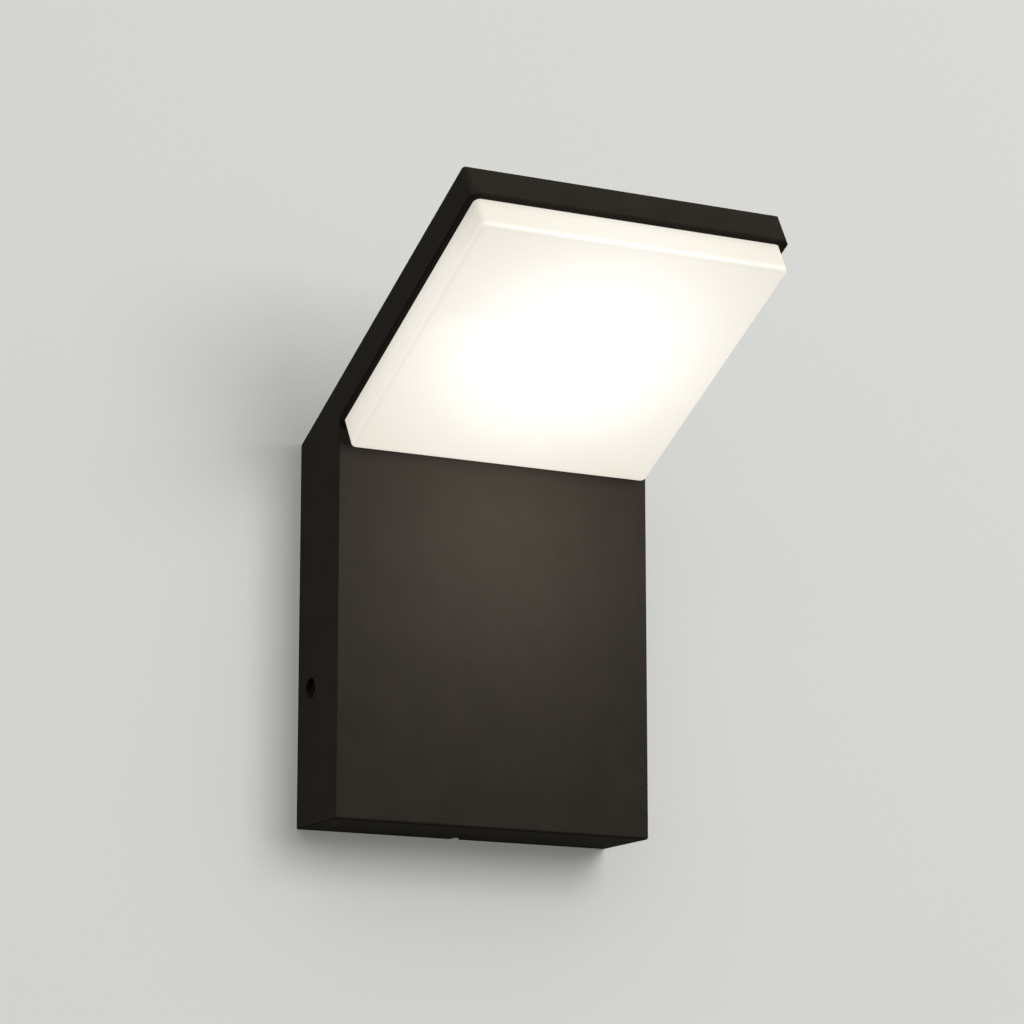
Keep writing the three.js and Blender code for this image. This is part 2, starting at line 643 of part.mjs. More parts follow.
function driverCase() {
  const halfWidth = DRIVER_WIDTH / 2;
  const ear = halfWidth + DRIVER_EAR;
  const earTop = STUD_TOP + DRIVER_WALL;
  const earHalf = DRIVER_EAR_HEIGHT / 2;
  const ribHalf = DRIVER_WALL / 2;
  const ribTop = STUD_TOP + DRIVER_WALL + DRIVER_RIB;
  const ribX = halfWidth / 2;
  const inX = halfWidth - DRIVER_WALL;
  const inLow = DRIVER_BOTTOM + DRIVER_WALL;
  const inHigh = DRIVER_TOP - DRIVER_WALL;
  let body = join(
    block([-halfWidth, STUD_TOP, DRIVER_BOTTOM], [halfWidth, DRIVER_BACK, DRIVER_TOP]),
    block([-ear, STUD_TOP, DRIVER_Z - earHalf], [ear, earTop, DRIVER_Z + earHalf]),
  );
  body = cut(body, block([-inX, earTop, inLow], [inX, DRIVER_BACK + BEYOND, inHigh]));
  for (const x of [-ribX, ribX]) {
    const low = [x - ribHalf, STUD_TOP + ribHalf, inLow - ribHalf];
    const high = [x + ribHalf, ribTop, inHigh + ribHalf];
    body = body.add(solid(block(low, high)));
  }
  const holes = [-DRIVER_EAR_X, DRIVER_EAR_X].map((x) => (
    bar('y', SCREW_HOLE / 2, STUD_TOP - BEYOND, earTop + BEYOND, x, DRIVER_Z, SMALL_CIRCLE_SIDES)
  ));
  return cut(body, ...holes);
}

function driverLid() {
  const halfWidth = DRIVER_WIDTH / 2;
  const inside = DRIVER_WALL + SEAT_GAP;
  const plugX = halfWidth - inside;
  const lidBack = DRIVER_BACK + LID_THICKNESS;
  const plugBack = DRIVER_BACK + LID_THICKNESS / 2;
  return join(
    block([-halfWidth, DRIVER_BACK, DRIVER_BOTTOM], [halfWidth, lidBack, DRIVER_TOP]),
    block(
      [-plugX, DRIVER_BACK - LID_PLUG, DRIVER_BOTTOM + inside],
      [plugX, plugBack, DRIVER_TOP - inside],
    ),
  );
}

place(housing, 'driver_case', driverCase(), DRIVER_PLASTIC);
place(housing, 'driver_lid', driverLid(), DRIVER_PLASTIC);

const CIRCUIT_SEAT = STUD_TOP + DRIVER_WALL + DRIVER_RIB;
const CIRCUIT_TOP = CIRCUIT_SEAT + BOARD_THICKNESS;
const PART_HEIGHT = DRIVER_BACK - LID_PLUG - SEAT_GAP - CIRCUIT_TOP;
const CIRCUIT_WIDTH = DRIVER_WIDTH - 2 * (DRIVER_WALL + SEAT_GAP);
const CIRCUIT_HEIGHT = DRIVER_HEIGHT - 2 * (DRIVER_WALL + SEAT_GAP);
place(
  housing,
  'driver_board',
  new THREE.BoxGeometry(CIRCUIT_WIDTH, BOARD_THICKNESS, CIRCUIT_HEIGHT),
  GREEN_BOARD,
  [0, CIRCUIT_SEAT + BOARD_THICKNESS / 2, DRIVER_Z],
);
place(
  housing,
  'driver_transformer',
  new THREE.BoxGeometry(TRANSFORMER_WIDTH, PART_HEIGHT, TRANSFORMER_LENGTH),
  FERRITE,
  [0, CIRCUIT_TOP + PART_HEIGHT / 2, DRIVER_Z],
);
place(
  housing,
  'driver_capacitor',
  bar('y', CAPACITOR_DIAMETER / 2, 0, PART_HEIGHT, 0, 0),
  CAPACITOR_SLEEVE,
  [-CAPACITOR_OFFSET, CIRCUIT_TOP, DRIVER_Z],
);
for (const [side, x] of [['left', -DRIVER_EAR_X], ['right', DRIVER_EAR_X]]) {
  const screw = panHeadScrew(DRIVER_WALL + SCREW_BITE);
  place(housing, `driver_screw_${side}`, screw, ZINC, [x, STUD_TOP + DRIVER_WALL, DRIVER_Z]);
}

// ---- Terminal block and earth point, in the box ----

const poleX = (pole) => (POLES.indexOf(pole) - (POLES.length - 1) / 2) * TERMINAL_PITCH;
const TERMINAL_BACK = STUD_TOP + TERMINAL_DEPTH;

function terminalBlock() {
  const halfWidth = TERMINAL_WIDTH / 2;
  const low = TERMINAL_Z - TERMINAL_HEIGHT / 2;
  const body = solid(block([-halfWidth, STUD_TOP, low], [halfWidth, TERMINAL_BACK, TERMINAL_TOP]));
  const hole = (axis, radius, from, to, x, across) => (
    bar(axis, radius, from, to, x, across, SMALL_CIRCLE_SIDES)
  );
  const back = TERMINAL_BACK + BEYOND;
  const clampRadius = CLAMP_SCREW_DIAMETER / 2 + SEAT_GAP;
  const tools = [-TERMINAL_PITCH / 2, TERMINAL_PITCH / 2].map((x) => (
    hole('y', SCREW_HOLE / 2, STUD_TOP - BEYOND, back, x, TERMINAL_Z)
  ));
  for (const x of POLES.map(poleX)) {
    tools.push(hole('z', WIRE_BORE / 2, low - BEYOND, TERMINAL_TOP + BEYOND, x, WIRE_Y));
    tools.push(hole('y', clampRadius, WIRE_Y, back, x, TERMINAL_Z));
  }
  return cut(body, ...tools);
}

// Slotted grub screw of one pole, flush with the block's back.
function clampScrew() {
  const radius = CLAMP_SCREW_DIAMETER / 2;
  const half = CLAMP_SLOT_WIDTH / 2;
  return cut(
    solid(bar('y', radius, -CLAMP_SCREW_LENGTH, 0, 0, 0, SMALL_CIRCLE_SIDES)),
    block([-radius - BEYOND, -CLAMP_SLOT_DEPTH, -half], [radius + BEYOND, BEYOND, half]),
  );
}

place(housing, 'terminal_block', terminalBlock(), NYLON);
for (const pole of POLES) {
  const seat = [poleX(pole), TERMINAL_BACK, TERMINAL_Z];
  place(housing, `clamp_screw_${pole}`, clampScrew(), NICKEL, seat);
}
for (const [side, x] of [['left', -TERMINAL_PITCH / 2], ['right', TERMINAL_PITCH / 2]]) {
  const screw = panHeadScrew(TERMINAL_DEPTH + SCREW_BITE);
  place(housing, `terminal_screw_${side}`, screw, ZINC, [x, TERMINAL_BACK, TERMINAL_Z]);
}

// Ring lug on the earth stud, its tail pointing up.
function earthLug() {
  const top = STUD_TOP + LUG_THICKNESS;
  const tail = MAINS_LEAD_DIAMETER / 2 + LUG_THICKNESS;
  const body = join(
    bar('y', LUG_DIAMETER / 2, STUD_TOP, top, EARTH_X, TERMINAL_Z),
    block([EARTH_X - tail, STUD_TOP, TERMINAL_Z], [EARTH_X + tail, top, TERMINAL_Z + LUG_TAIL]),
  );
  return cut(body, bar('y', SCREW_HOLE / 2, STUD_TOP - BEYOND, top + BEYOND, EARTH_X, TERMINAL_Z));
}

place(housing, 'earth_lug', earthLug(), NICKEL);
place(
  housing,
  'earth_screw',
  panHeadScrew(LUG_THICKNESS + SCREW_BITE),
  NICKEL,
  [EARTH_X, STUD_TOP + LUG_THICKNESS, TERMINAL_Z],
);

// ---- Leads ----

const WIRE_END = TERMINAL_TOP - WIRE_INSERTION;

// Mains leads run from the driver's underside into the terminal block, bowed a little outward.
for (const [pole, color] of [['live', BROWN], ['neutral', BLUE]]) {
  const x = poleX(pole);
  const start = new THREE.Vector3(x, WIRE_Y, DRIVER_BOTTOM - SEAT_GAP);
  const straight = new THREE.Vector3(x, WIRE_Y, TERMINAL_TOP + MAINS_LEAD_DIAMETER);
  const bow = start.clone().lerp(straight, 0.5);
  bow.x += Math.sign(x) * MAINS_LEAD_DIAMETER;
  const mouth = new THREE.Vector3(x, WIRE_Y, TERMINAL_TOP);
  const end = new THREE.Vector3(x, WIRE_Y, WIRE_END);
  const path = lead([start, bow, straight, mouth, end], MAINS_LEAD_DIAMETER);
  place(housing, `${pole}_lead`, path, color);
}

// The earth lead loops from its pole over to the lug.
function earthLead() {
  const level = STUD_TOP + LUG_THICKNESS + SEAT_GAP + MAINS_LEAD_DIAMETER / 2;
  const x = poleX('earth');
  const crest = TERMINAL_TOP + LUG_TAIL;
  const lugTop = TERMINAL_Z + LUG_TAIL;
  return lead([
    new THREE.Vector3(x, WIRE_Y, WIRE_END),
    new THREE.Vector3(x, WIRE_Y, TERMINAL_TOP),
    new THREE.Vector3(x, WIRE_Y, TERMINAL_TOP + MAINS_LEAD_DIAMETER),
    new THREE.Vector3((x + EARTH_X) / 2, (WIRE_Y + level) / 2, crest),
    new THREE.Vector3(EARTH_X, level, lugTop + MAINS_LEAD_DIAMETER),
    new THREE.Vector3(EARTH_X, level, lugTop - CRIMP_LENGTH),
  ], MAINS_LEAD_DIAMETER);
}

place(housing, 'earth_lead', earthLead(), GREEN_YELLOW);

// The light board's two leads leave the driver's top and pass through the bush.
function boardLead(x) {
  const driverY = (STUD_TOP + DRIVER_BACK) / 2;
  const rise = (KINK_Z - DRIVER_TOP) / 2;
  return lead([
    new THREE.Vector3(x, driverY, DRIVER_TOP + SEAT_GAP),
    new THREE.Vector3(x, driverY, DRIVER_TOP + rise),
    headPoint(x, PASSAGE_LEVEL, WEB_START - WALL * 3),
    headPoint(x, PASSAGE_LEVEL, WEB_START - WALL),
    headPoint(x, PASSAGE_LEVEL, (WEB_START + POCKET_START) / 2),
    headPoint(x, PASSAGE_LEVEL, POCKET_START),
    headPoint(x, CONNECTOR_LEVEL, CONNECTOR_START - SEAT_GAP),
  ], LEAD_DIAMETER);
}

place(housing, 'board_lead_positive', boardLead(-LEAD_X), RED);
place(housing, 'board_lead_negative', boardLead(LEAD_X), BLACK);

// ---- Mounting plate, pad and cable grommet, on the wall ----

const wall = new THREE.Group();
light.add(wall);
const GROMMET_SEAT = CABLE_HOLE_DIAMETER / 2 - SEAT_GAP;
const GROMMET_FLANGE = CABLE_HOLE_DIAMETER / 2 + GROMMET_LIP;

function plateOutline() {
  const middle = (PLATE_RISE + PLATE_BOTTOM) / 2;
  return roundedRectangle(PLATE_WIDTH, PLATE_HEIGHT, PLATE_CORNER, 0, middle);
}

// The two slots for the wall screws, larger all over by a play.
function slotCutters(play = 0) {
  return [-SLOT_SPACING / 2, SLOT_SPACING / 2].flatMap((x) => (
    slotCutter(x, 0, SLOT_LENGTH + play, SLOT_WIDTH + play, BEYOND, PLATE_FRONT - BEYOND)
  ));
}

function mountingPlate() {
  const edge = PLATE_WIDTH / 2;
  const tip = -SCREW_FROM_WALL - TAB_REACH;
  const tabHalf = TAB_HEIGHT / 2;
  const inner = edge - PLATE_THICKNESS;
  const body = join(
    slab(plateOutline(), -PAD_THICKNESS, PLATE_FRONT),
    block([-edge, tip, -tabHalf], [-inner, -PAD_THICKNESS, tabHalf]),
    block([inner, tip, -tabHalf], [edge, -PAD_THICKNESS, tabHalf]),
  );
  const hole = CABLE_HOLE_DIAMETER / 2;
  return cut(
    body,
    bar('y', hole, PLATE_FRONT - BEYOND, BEYOND, 0, CABLE_HOLE_HEIGHT),
    ...slotCutters(),
  );
}

function wallPad() {
  const hole = GROMMET_FLANGE + SEAT_GAP;
  return cut(
    solid(slab(plateOutline(), 0, -PAD_THICKNESS)),
    bar('y', hole, PLATE_FRONT - BEYOND, BEYOND, 0, CABLE_HOLE_HEIGHT),
    ...slotCutters(PAD_SLOT_PLAY),
  );
}

// Grommet with a flange on each side of the plate; its axis is Y.
function cableGrommet() {
  const bore = CABLE_DIAMETER / 2;
  const back = -SEAT_GAP;
  const front = PLATE_FRONT - PAD_THICKNESS;
  const profile = [
    [bore, front],
    [GROMMET_FLANGE, front],
    [GROMMET_FLANGE, PLATE_FRONT],
    [GROMMET_SEAT, PLATE_FRONT],
    [GROMMET_SEAT, -PAD_THICKNESS],
    [GROMMET_FLANGE, -PAD_THICKNESS],
    [GROMMET_FLANGE, back],
    [bore, back],
    [bore, front],
  ].map(([radius, y]) => new THREE.Vector2(radius, y));
  return new THREE.LatheGeometry(profile, CIRCLE_SIDES);
}

place(wall, 'mounting_plate', mountingPlate(), ZINC);
place(wall, 'wall_pad', wallPad(), BLACK_RUBBER);
place(wall, 'cable_grommet', cableGrommet(), BLACK_RUBBER, [0, 0, CABLE_HOLE_HEIGHT]);

// ---- Set screws ----

// Hexagon-socket set screw on the Y axis, its socket end at y = 0 and its point below.
function setScrew() {
  const radius = SET_SCREW_DIAMETER / 2;
  const profile = [
    [0, -SET_SCREW_LENGTH],
    [radius - SET_SCREW_POINT, -SET_SCREW_LENGTH],
    [radius, SET_SCREW_POINT - SET_SCREW_LENGTH],
    [radius, -SET_SCREW_EDGE],
    [radius - SET_SCREW_EDGE, 0],
    [0, 0],
  ].map(([r, y]) => new THREE.Vector2(r, y));
  const socketRadius = SET_SCREW_SOCKET / Math.sqrt(3);
  return cut(
    solid(new THREE.LatheGeometry(profile, CIRCLE_SIDES)),
    bar('y', socketRadius, -SET_SCREW_SOCKET_DEPTH, BEYOND, 0, 0, 6),
  );
}

// Each screw's point stands just clear of its tab.
for (const [side, sign] of [['left', -1], ['right', 1]]) {
  const x = sign * (PLATE_WIDTH / 2 + SEAT_GAP + SET_SCREW_LENGTH);
  const turn = (-sign * Math.PI) / 2;
  place(light, `set_screw_${side}`, setScrew(), BLACK_STEEL, [x, -SCREW_FROM_WALL, 0], [0, 0, turn]);
}

export default light;
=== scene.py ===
# %% [markdown]
# # A slim outdoor wall light
# A shallow box of die-cast aluminium stands on the wall, and its head leans forward over it. Under
# the head sits a proud opal cover that glows. A CAD model already holds every size and every
# joint. This notebook keeps its places and gives each piece its real surface.

# %% Load the CAD model
import json
import math

import bmesh
import bpy
import numpy as np
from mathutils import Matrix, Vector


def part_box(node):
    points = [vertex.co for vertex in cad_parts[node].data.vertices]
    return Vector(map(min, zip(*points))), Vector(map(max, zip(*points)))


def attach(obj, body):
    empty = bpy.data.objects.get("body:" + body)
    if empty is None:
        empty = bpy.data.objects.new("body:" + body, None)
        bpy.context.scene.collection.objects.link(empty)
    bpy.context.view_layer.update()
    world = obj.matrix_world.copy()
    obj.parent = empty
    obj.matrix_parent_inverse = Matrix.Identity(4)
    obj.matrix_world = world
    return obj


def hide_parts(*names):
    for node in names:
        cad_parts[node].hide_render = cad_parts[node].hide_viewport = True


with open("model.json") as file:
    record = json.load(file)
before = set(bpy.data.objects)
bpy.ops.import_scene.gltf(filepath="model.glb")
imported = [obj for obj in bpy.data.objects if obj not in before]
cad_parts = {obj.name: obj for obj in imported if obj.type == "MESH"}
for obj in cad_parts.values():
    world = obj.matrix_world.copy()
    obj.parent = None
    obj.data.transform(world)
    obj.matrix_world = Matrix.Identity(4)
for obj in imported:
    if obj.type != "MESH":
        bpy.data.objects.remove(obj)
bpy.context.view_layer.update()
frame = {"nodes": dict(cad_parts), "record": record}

MM = 0.001
BODY_OF = {node: body for body, nodes in frame["record"]["behaviour"]["bodies"].items()
           for node in nodes}


print("CAD nodes:", len(frame["nodes"]))

# %% [markdown]
# ## The camera
# A product is best seen from well back through a long lens, so that upright edges stay nearly
# parallel. A camera can be aimed by a constraint, but a place, a heading and a pitch are plain
# numbers that are easy to change one at a time. It stands left of the light, in front of it and
# below it, and looks up under the head.

# %% Camera
LENS = 126.85  # mm, on the usual sensor 36 mm wide
CAMERA_PLACE = (-0.5396, -1.0698, -0.1942)
HEADING = math.radians(27.69)  # from straight at the wall, towards +X
PITCH = math.radians(12.285)  # upwards
MIDDLE = (0, 0, 0.05)  # m, about the middle of the light

camera_data = bpy.data.cameras.new("camera")
camera_data.lens = LENS
camera = bpy.data.objects.new("camera", camera_data)
camera.location = CAMERA_PLACE
camera.rotation_euler = (math.pi / 2 + PITCH, 0, -HEADING)
bpy.context.scene.collection.objects.link(camera)
bpy.context.scene.camera = camera
print("camera", round(math.dist(CAMERA_PLACE, MIDDLE), 2), "m from the light")

# %% [markdown]
# ## Nodes and colours
# A colour is usually picked as an sRGB hex code, but a shader works with linear light, so one
# function turns the one into the other. A second function adds a node and wires it in a single
# line, which keeps each material below short enough to read as a recipe.

# %% Node helpers
def linear(code):
    """sRGB hex to linear RGBA: c / 12.92 below the toe, ((c + 0.055) / 1.055) ** 2.4 above it."""
    c = np.array([int(code[i:i + 2], 16) for i in (1, 3, 5)]) / 255
    c = np.where(c <= 0.04045, c / 12.92, ((c + 0.055) / 1.055) ** 2.4)
    return (*c.tolist(), 1.0)


def add(tree, kind, links=None, **settings):
    """Adds a node. links gives each input, by name or number, its value, or else the output that
    feeds it; a node stands for its first output. settings are the node's own properties."""
    node = tree.nodes.new("ShaderNode" + kind)
    for key, value in settings.items():
        setattr(node, key, value)
    for key, value in (links or {}).items():
        if isinstance(value, bpy.types.Node):
            value = next(output for output in value.outputs if output.enabled)
        if isinstance(value, bpy.types.NodeSocket):
            tree.links.new(value, node.inputs[key])
        else:
            node.inputs[key].default_value = value
    return node


def start(name):
    """An empty node material. Returns it, its tree and Object coordinates, which are metres in the
    part's own frame and stay on a piece as it moves."""
    material = bpy.data.materials.new(name)
    material.use_nodes = True
    tree = material.node_tree
    tree.nodes.clear()
    print("material:", name)
    return material, tree, add(tree, "TexCoord").outputs["Object"]


MIX = {"data_type": "RGBA"}  # of a Mix node: 0 is its factor, 6 and 7 are its two colours
WHITE = linear("#ffffff")
print("0.5 grey is", [round(c, 3) for c in linear("#808080")[:3]], "in linear light")

# %% [markdown]
# ## The wall
# The stage is a plain pale wall, seen from its front only: from behind it is clear, so that the
# back of the light can be looked at too. Rays that carry light pass through it both ways, and only
# rays that are seen stop at it. A share of its brightness is its own, which keeps the shadows on
# it pale without any more light on the object.

# %% Wall
WALL_HALF = 2.5  # m
WALL_GAP = 0.05 * MM  # behind the plane that the light stands on
WALL_COLOUR = linear("#dcddd9")
SHADOW_LIFT = 0.22  # this share of the wall's brightness stays in a shadow
OWN_LIGHT = 0.95  # of the wall's colour, where nothing else lights it


def seen_rays(tree):
    """1 on a ray that is seen, straight, in a reflection or through glass, and 0 on a ray that
    only carries light."""
    rays = add(tree, "LightPath").outputs
    seen = add(tree, "Math", {0: rays["Is Camera Ray"], 1: rays["Is Glossy Ray"]},
               operation="MAXIMUM")
    return add(tree, "Math", {0: seen, 1: rays["Is Transmission Ray"]}, operation="MAXIMUM")


wall_mesh = bpy.data.meshes.new("wall")
wall_mesh.from_pydata([(x * WALL_HALF, WALL_GAP, z * WALL_HALF)
                       for x, z in ((-1, -1), (1, -1), (1, 1), (-1, 1))], [], [(0, 1, 2, 3)])
wall = bpy.data.objects.new("wall", wall_mesh)
bpy.context.scene.collection.objects.link(wall)

wall_paint, tree, _ = start("matt wall paint")
behind = add(tree, "NewGeometry").outputs["Backfacing"]
shown = add(tree, "Math", {0: seen_rays(tree), 1: behind}, operation="SUBTRACT", use_clamp=True)
paint = add(tree, "BsdfDiffuse", {"Color": WALL_COLOUR})
lift = add(tree, "Emission", {"Color": WALL_COLOUR, "Strength": OWN_LIGHT})
paint = add(tree, "MixShader", {0: SHADOW_LIFT, 1: paint, 2: lift})
mixed = add(tree, "MixShader", {0: shown, 1: add(tree, "BsdfTransparent"), 2: paint})
add(tree, "OutputMaterial", {"Surface": mixed})
wall_mesh.materials.append(wall_paint)
print("wall normal:", tuple(round(v) for v in wall_mesh.polygons[0].normal))

# %% [markdown]
# ## The light on it
# One large softbox hangs in front of the wall, high and to the right, so that the shadows are
# short and soft and fall to the left and down. The world fills in from above and from the sides.
# To the eye and in reflections it is a pale backdrop that darkens downwards, as a studio's does. A
# second softbox behind the wall lights the open back for whoever looks at it from there.
# The cover's own light is far stronger than a picture can show, so its surface only glows as
# bright as it looks. A small warm lamp in front of the box, below the cover, stands for what it
# throws on the box. Only gloss shows this lamp, and it rides on the cover's body, so it moves with
# the cover.

# %% World and lamps
KEY_PLACE, KEY_SIZE, KEY_POWER = (0.80, -2.66, 0.90), 1.5, 47.5  # m, m, W
BACK_PLACE, BACK_SIZE, BACK_POWER = (0, 2.2, 0.15), 0.3, 16
GLOW_PLACE, GLOW_TARGET = (0.004, -0.095, 0.054), (0.004, -0.03, 0.052)
GLOW_SIZE, GLOW_POWER = 0.045, 0.77

world = bpy.data.worlds.new("studio")
world.use_nodes = True
bpy.context.scene.world = world
tree = world.node_tree
tree.nodes.clear()
way = add(tree, "SeparateXYZ", {0: add(tree, "TexCoord").outputs["Generated"]}).outputs
upper = add(tree, "MapRange", {"Value": way["Z"], "From Min": -0.35, "From Max": 0.4,
                               "To Min": 0.0, "To Max": 0.92})
fill = add(tree, "Background", {"Color": WHITE, "Strength": upper})
height = add(tree, "MapRange", {"Value": way["Z"], "From Min": -0.5, "From Max": 0.0})
sweep = add(tree, "Mix", {0: height, 6: linear("#7c7d7a"), 7: linear("#d0d1cc")}, **MIX)
backdrop = add(tree, "Background", {"Color": sweep, "Strength": 1.0})
light = add(tree, "MixShader", {0: seen_rays(tree), 1: fill, 2: backdrop})
add(tree, "OutputWorld", {"Surface": light})


def softbox(name, place, target, size, power, colour=WHITE):
    """A square area lamp of `size` metres at `place`, turned to face `target`."""
    data = bpy.data.lights.new(name, "AREA")
    data.size, data.energy, data.color = size, power, colour[:3]
    lamp = bpy.data.objects.new(name, data)
    lamp.location = place
    way = np.subtract(target, place)
    lamp.rotation_euler = (math.atan2(math.hypot(way[0], way[1]), -way[2]), 0,
                           math.atan2(-way[0], way[1]))
    bpy.context.scene.collection.objects.link(lamp)
    return lamp


softbox("key softbox", KEY_PLACE, MIDDLE, KEY_SIZE, KEY_POWER)
softbox("back softbox", BACK_PLACE, MIDDLE, BACK_SIZE, BACK_POWER)
glow = softbox("glow of the cover", GLOW_PLACE, GLOW_TARGET, GLOW_SIZE, GLOW_POWER,
               linear("#ffebda"))
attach(glow, BODY_OF["diffuser"])
glow.visible_diffuse = False
glow.visible_camera = False
bpy.context.scene.view_settings.view_transform = "Standard"

# %% [markdown]
# ## Shapes from arrays
# Every new piece is a few closed shells. A shell is a stack of equal rings of points: the ring's
# number is one parameter of the surface and the place round the ring is the other. The rings can
# be an outline that is drawn in a little at each rim, which rounds its edges, or circles round an
# axis, which is turning on a lathe. All points of a shell are worked out as one array.

# %% Outlines
SMALLEST = 0.02  # mm, the radius that an inset leaves on a round corner at least
HAIR = 0.01  # mm, by which the two round corners of a half-circle end stay apart


def rectangle(low, high):
    """Corners of a rectangle, anticlockwise."""
    (a, b), (c, d) = low, high
    return [(a, b), (c, b), (c, d), (a, d)]


def outline(corners, radii, inset=0.0, steps=6):
    """Straight sides and round corners, anticlockwise, with all sides drawn in by `inset`. The
    bisector m leads from a corner so that a step of d moves both its sides in by d. A round
    corner's arc has its centre at corner + (inset + r) m and runs from one side's normal to the
    other's. An outward corner's radius shrinks by the inset, and an inward corner's grows. A
    corner of radius 0 stays one sharp point."""
    corners = np.asarray(corners, float)
    radii = np.broadcast_to(radii, len(corners)).astype(float)
    side = np.roll(corners, -1, 0) - corners
    side /= np.linalg.norm(side, axis=1, keepdims=True)
    after = np.column_stack([-side[:, 1], side[:, 0]])
    before = np.roll(after, 1, 0)
    cosine = (before * after).sum(1)
    m = (before + after) / (1 + cosine)[:, None]
    turn = np.arctan2(before[:, 0] * after[:, 1] - before[:, 1] * after[:, 0], cosine)
    r = np.where(turn > 0, np.maximum(radii - inset, SMALLEST), -(radii + inset))
    r = np.where(radii > 0, r, 0)
    centre = corners + m * (inset + r)[:, None]
    start_angle = np.arctan2(before[:, 1], before[:, 0])
    angle = start_angle[:, None] + turn[:, None] * np.linspace(0, 1, steps + 1)
    arcs = centre[:, None] - r[:, None, None] * np.stack([np.cos(angle), np.sin(angle)], -1)
    kept = np.ones(arcs.shape[:2], bool)
    kept[radii == 0, 1:] = False
    return arcs[kept]


def rim(radius, place, way, steps=5):
    """Profile of a rounded rim that ends at `place` and grows towards `way` (+1 or -1): at angle
    t it is drawn in by radius (1 - sin t), at place - way radius (1 - cos t)."""
    t = np.linspace(0, np.pi / 2, steps + 1)[::-1]
    return [(radius * (1 - math.sin(a)), place - way * radius * (1 - math.cos(a))) for a in t]


def rims(low, high, radius, steps=5):
    """Profile from `low` to `high` with a rounded rim at each end, of one radius or of two."""
    first, last = np.broadcast_to(radius, 2)
    return rim(first, low, -1, steps)[::-1] + rim(last, high, 1, steps)


print("a rounded square has", len(outline(rectangle((0, 0), (1, 1)), 0.2)), "points")

# %% Shells
X, Y, Z = range(3)
FACING = (X, Z, Y)  # an outline seen from the front, stacked along Y or along the head's level
SIDEWAYS = (Y, Z, X)  # an outline seen from the side, stacked along X


def loft(rows, ring=False):
    """A closed shell through rings of points, rows x columns x 3. Face (i, j) joins rows i and
    i + 1 and columns j and j + 1. The two ends are capped, or joined to each other with ring."""
    rows = np.asarray(rows, float)
    count, columns, _ = rows.shape
    i = np.arange(count if ring else count - 1)[:, None] * columns
    j = np.arange(columns)[None, :]
    last = count * columns
    corners = (i + j, i + (j + 1) % columns, (i + columns + (j + 1) % columns) % last,
               (i + columns + j) % last)
    faces = np.stack(np.broadcast_arrays(*corners), -1).reshape(-1, 4).tolist()
    if not ring:
        faces += [list(range(columns)), list(range(last - columns, last))]
    return rows.reshape(-1, 3), faces


def stack(corners, radii, profile, axes=(X, Y, Z), ring=False, steps=6):
    """Outlines one above the other. The profile is a list of (inset, place along the third axis),
    and axes says which of x, y and z the outline's two coordinates and the stack's way are."""
    rows = []
    for inset, along in profile:
        flat = outline(corners, radii, inset, steps)
        row = np.empty((len(flat), 3))
        row[:, axes[0]], row[:, axes[1]], row[:, axes[2]] = flat[:, 0], flat[:, 1], along
        rows.append(row)
    return loft(rows, ring)


def block(low, high, corner=0.3, edge=0.3, axes=(X, Y, Z), steps=4):
    """Rounded block between two corners, with its flat faces across the last of the axes."""
    a, b, c = axes
    return stack(rectangle((low[a], low[b]), (high[a], high[b])), corner,
                 rims(low[c], high[c], edge, steps), axes, steps=steps)


def turned(profile, centre, axis, ring=False, sides=48):
    """Lathe work: each (radius, place along the axis) of the profile becomes a circle round it.
    A radius may itself be a row of `sides` radii, one for each direction."""
    radius = np.array([np.broadcast_to(r, sides) for r, _ in profile])
    angle = np.linspace(0, 2 * np.pi, sides, endpoint=False)
    a, b = [(Y, Z), (Z, X), (X, Y)][axis]
    rows = np.empty((len(profile), sides, 3))
    rows[..., axis] = np.array([along for _, along in profile])[:, None]
    rows[..., a] = centre[0] + radius * np.cos(angle)
    rows[..., b] = centre[1] + radius * np.sin(angle)
    return loft(rows, ring)


def bar(radius, start, end, centre, axis, sides=24):
    """A straight round bar, which mostly serves as a drill."""
    return turned([(radius, start), (radius, end)], centre, axis, sides=sides)


print("a turned bar has", len(bar(1, 0, 5, (0, 0), Z)[1]), "faces")

# %% [markdown]
# ## From shells to pieces
# Some holes are easiest to cut with a Boolean modifier, as a drill would. It is applied at once,
# so the finished piece is a plain mesh. Each piece then rides on the CAD body that the record
# gives the CAD node it stands for, hides that node, and wears its materials.

# %% Solids, cuts and pieces
SLIVER = 0.001 * MM  # edges shorter than this are dissolved after a cut
CREASE = math.radians(32)  # shading is smooth up to this angle between two faces


def solid(name, *shells):
    """One mesh object from closed shells in millimetres, each turned so that it faces outwards.
    Faces of shell k wear material k."""
    sizes = np.array([len(points) for points, _ in shells])
    starts = np.cumsum(sizes) - sizes
    faces = [[corner + first for corner in face]
             for (_, shell_faces), first in zip(shells, starts.tolist()) for face in shell_faces]
    mesh = bpy.data.meshes.new(name)
    mesh.from_pydata(np.concatenate([points for points, _ in shells]) * MM, [], faces)
    number = np.repeat(np.arange(len(shells)), [len(shell_faces) for _, shell_faces in shells])
    made = bmesh.new()
    made.from_mesh(mesh)
    bmesh.ops.recalc_face_normals(made, faces=made.faces)
    made.to_mesh(mesh)
    made.free()
    mesh.polygons.foreach_set("material_index", number.astype(np.int32))
    obj = bpy.data.objects.new(name, mesh)
    bpy.context.scene.collection.objects.link(obj)
    return obj


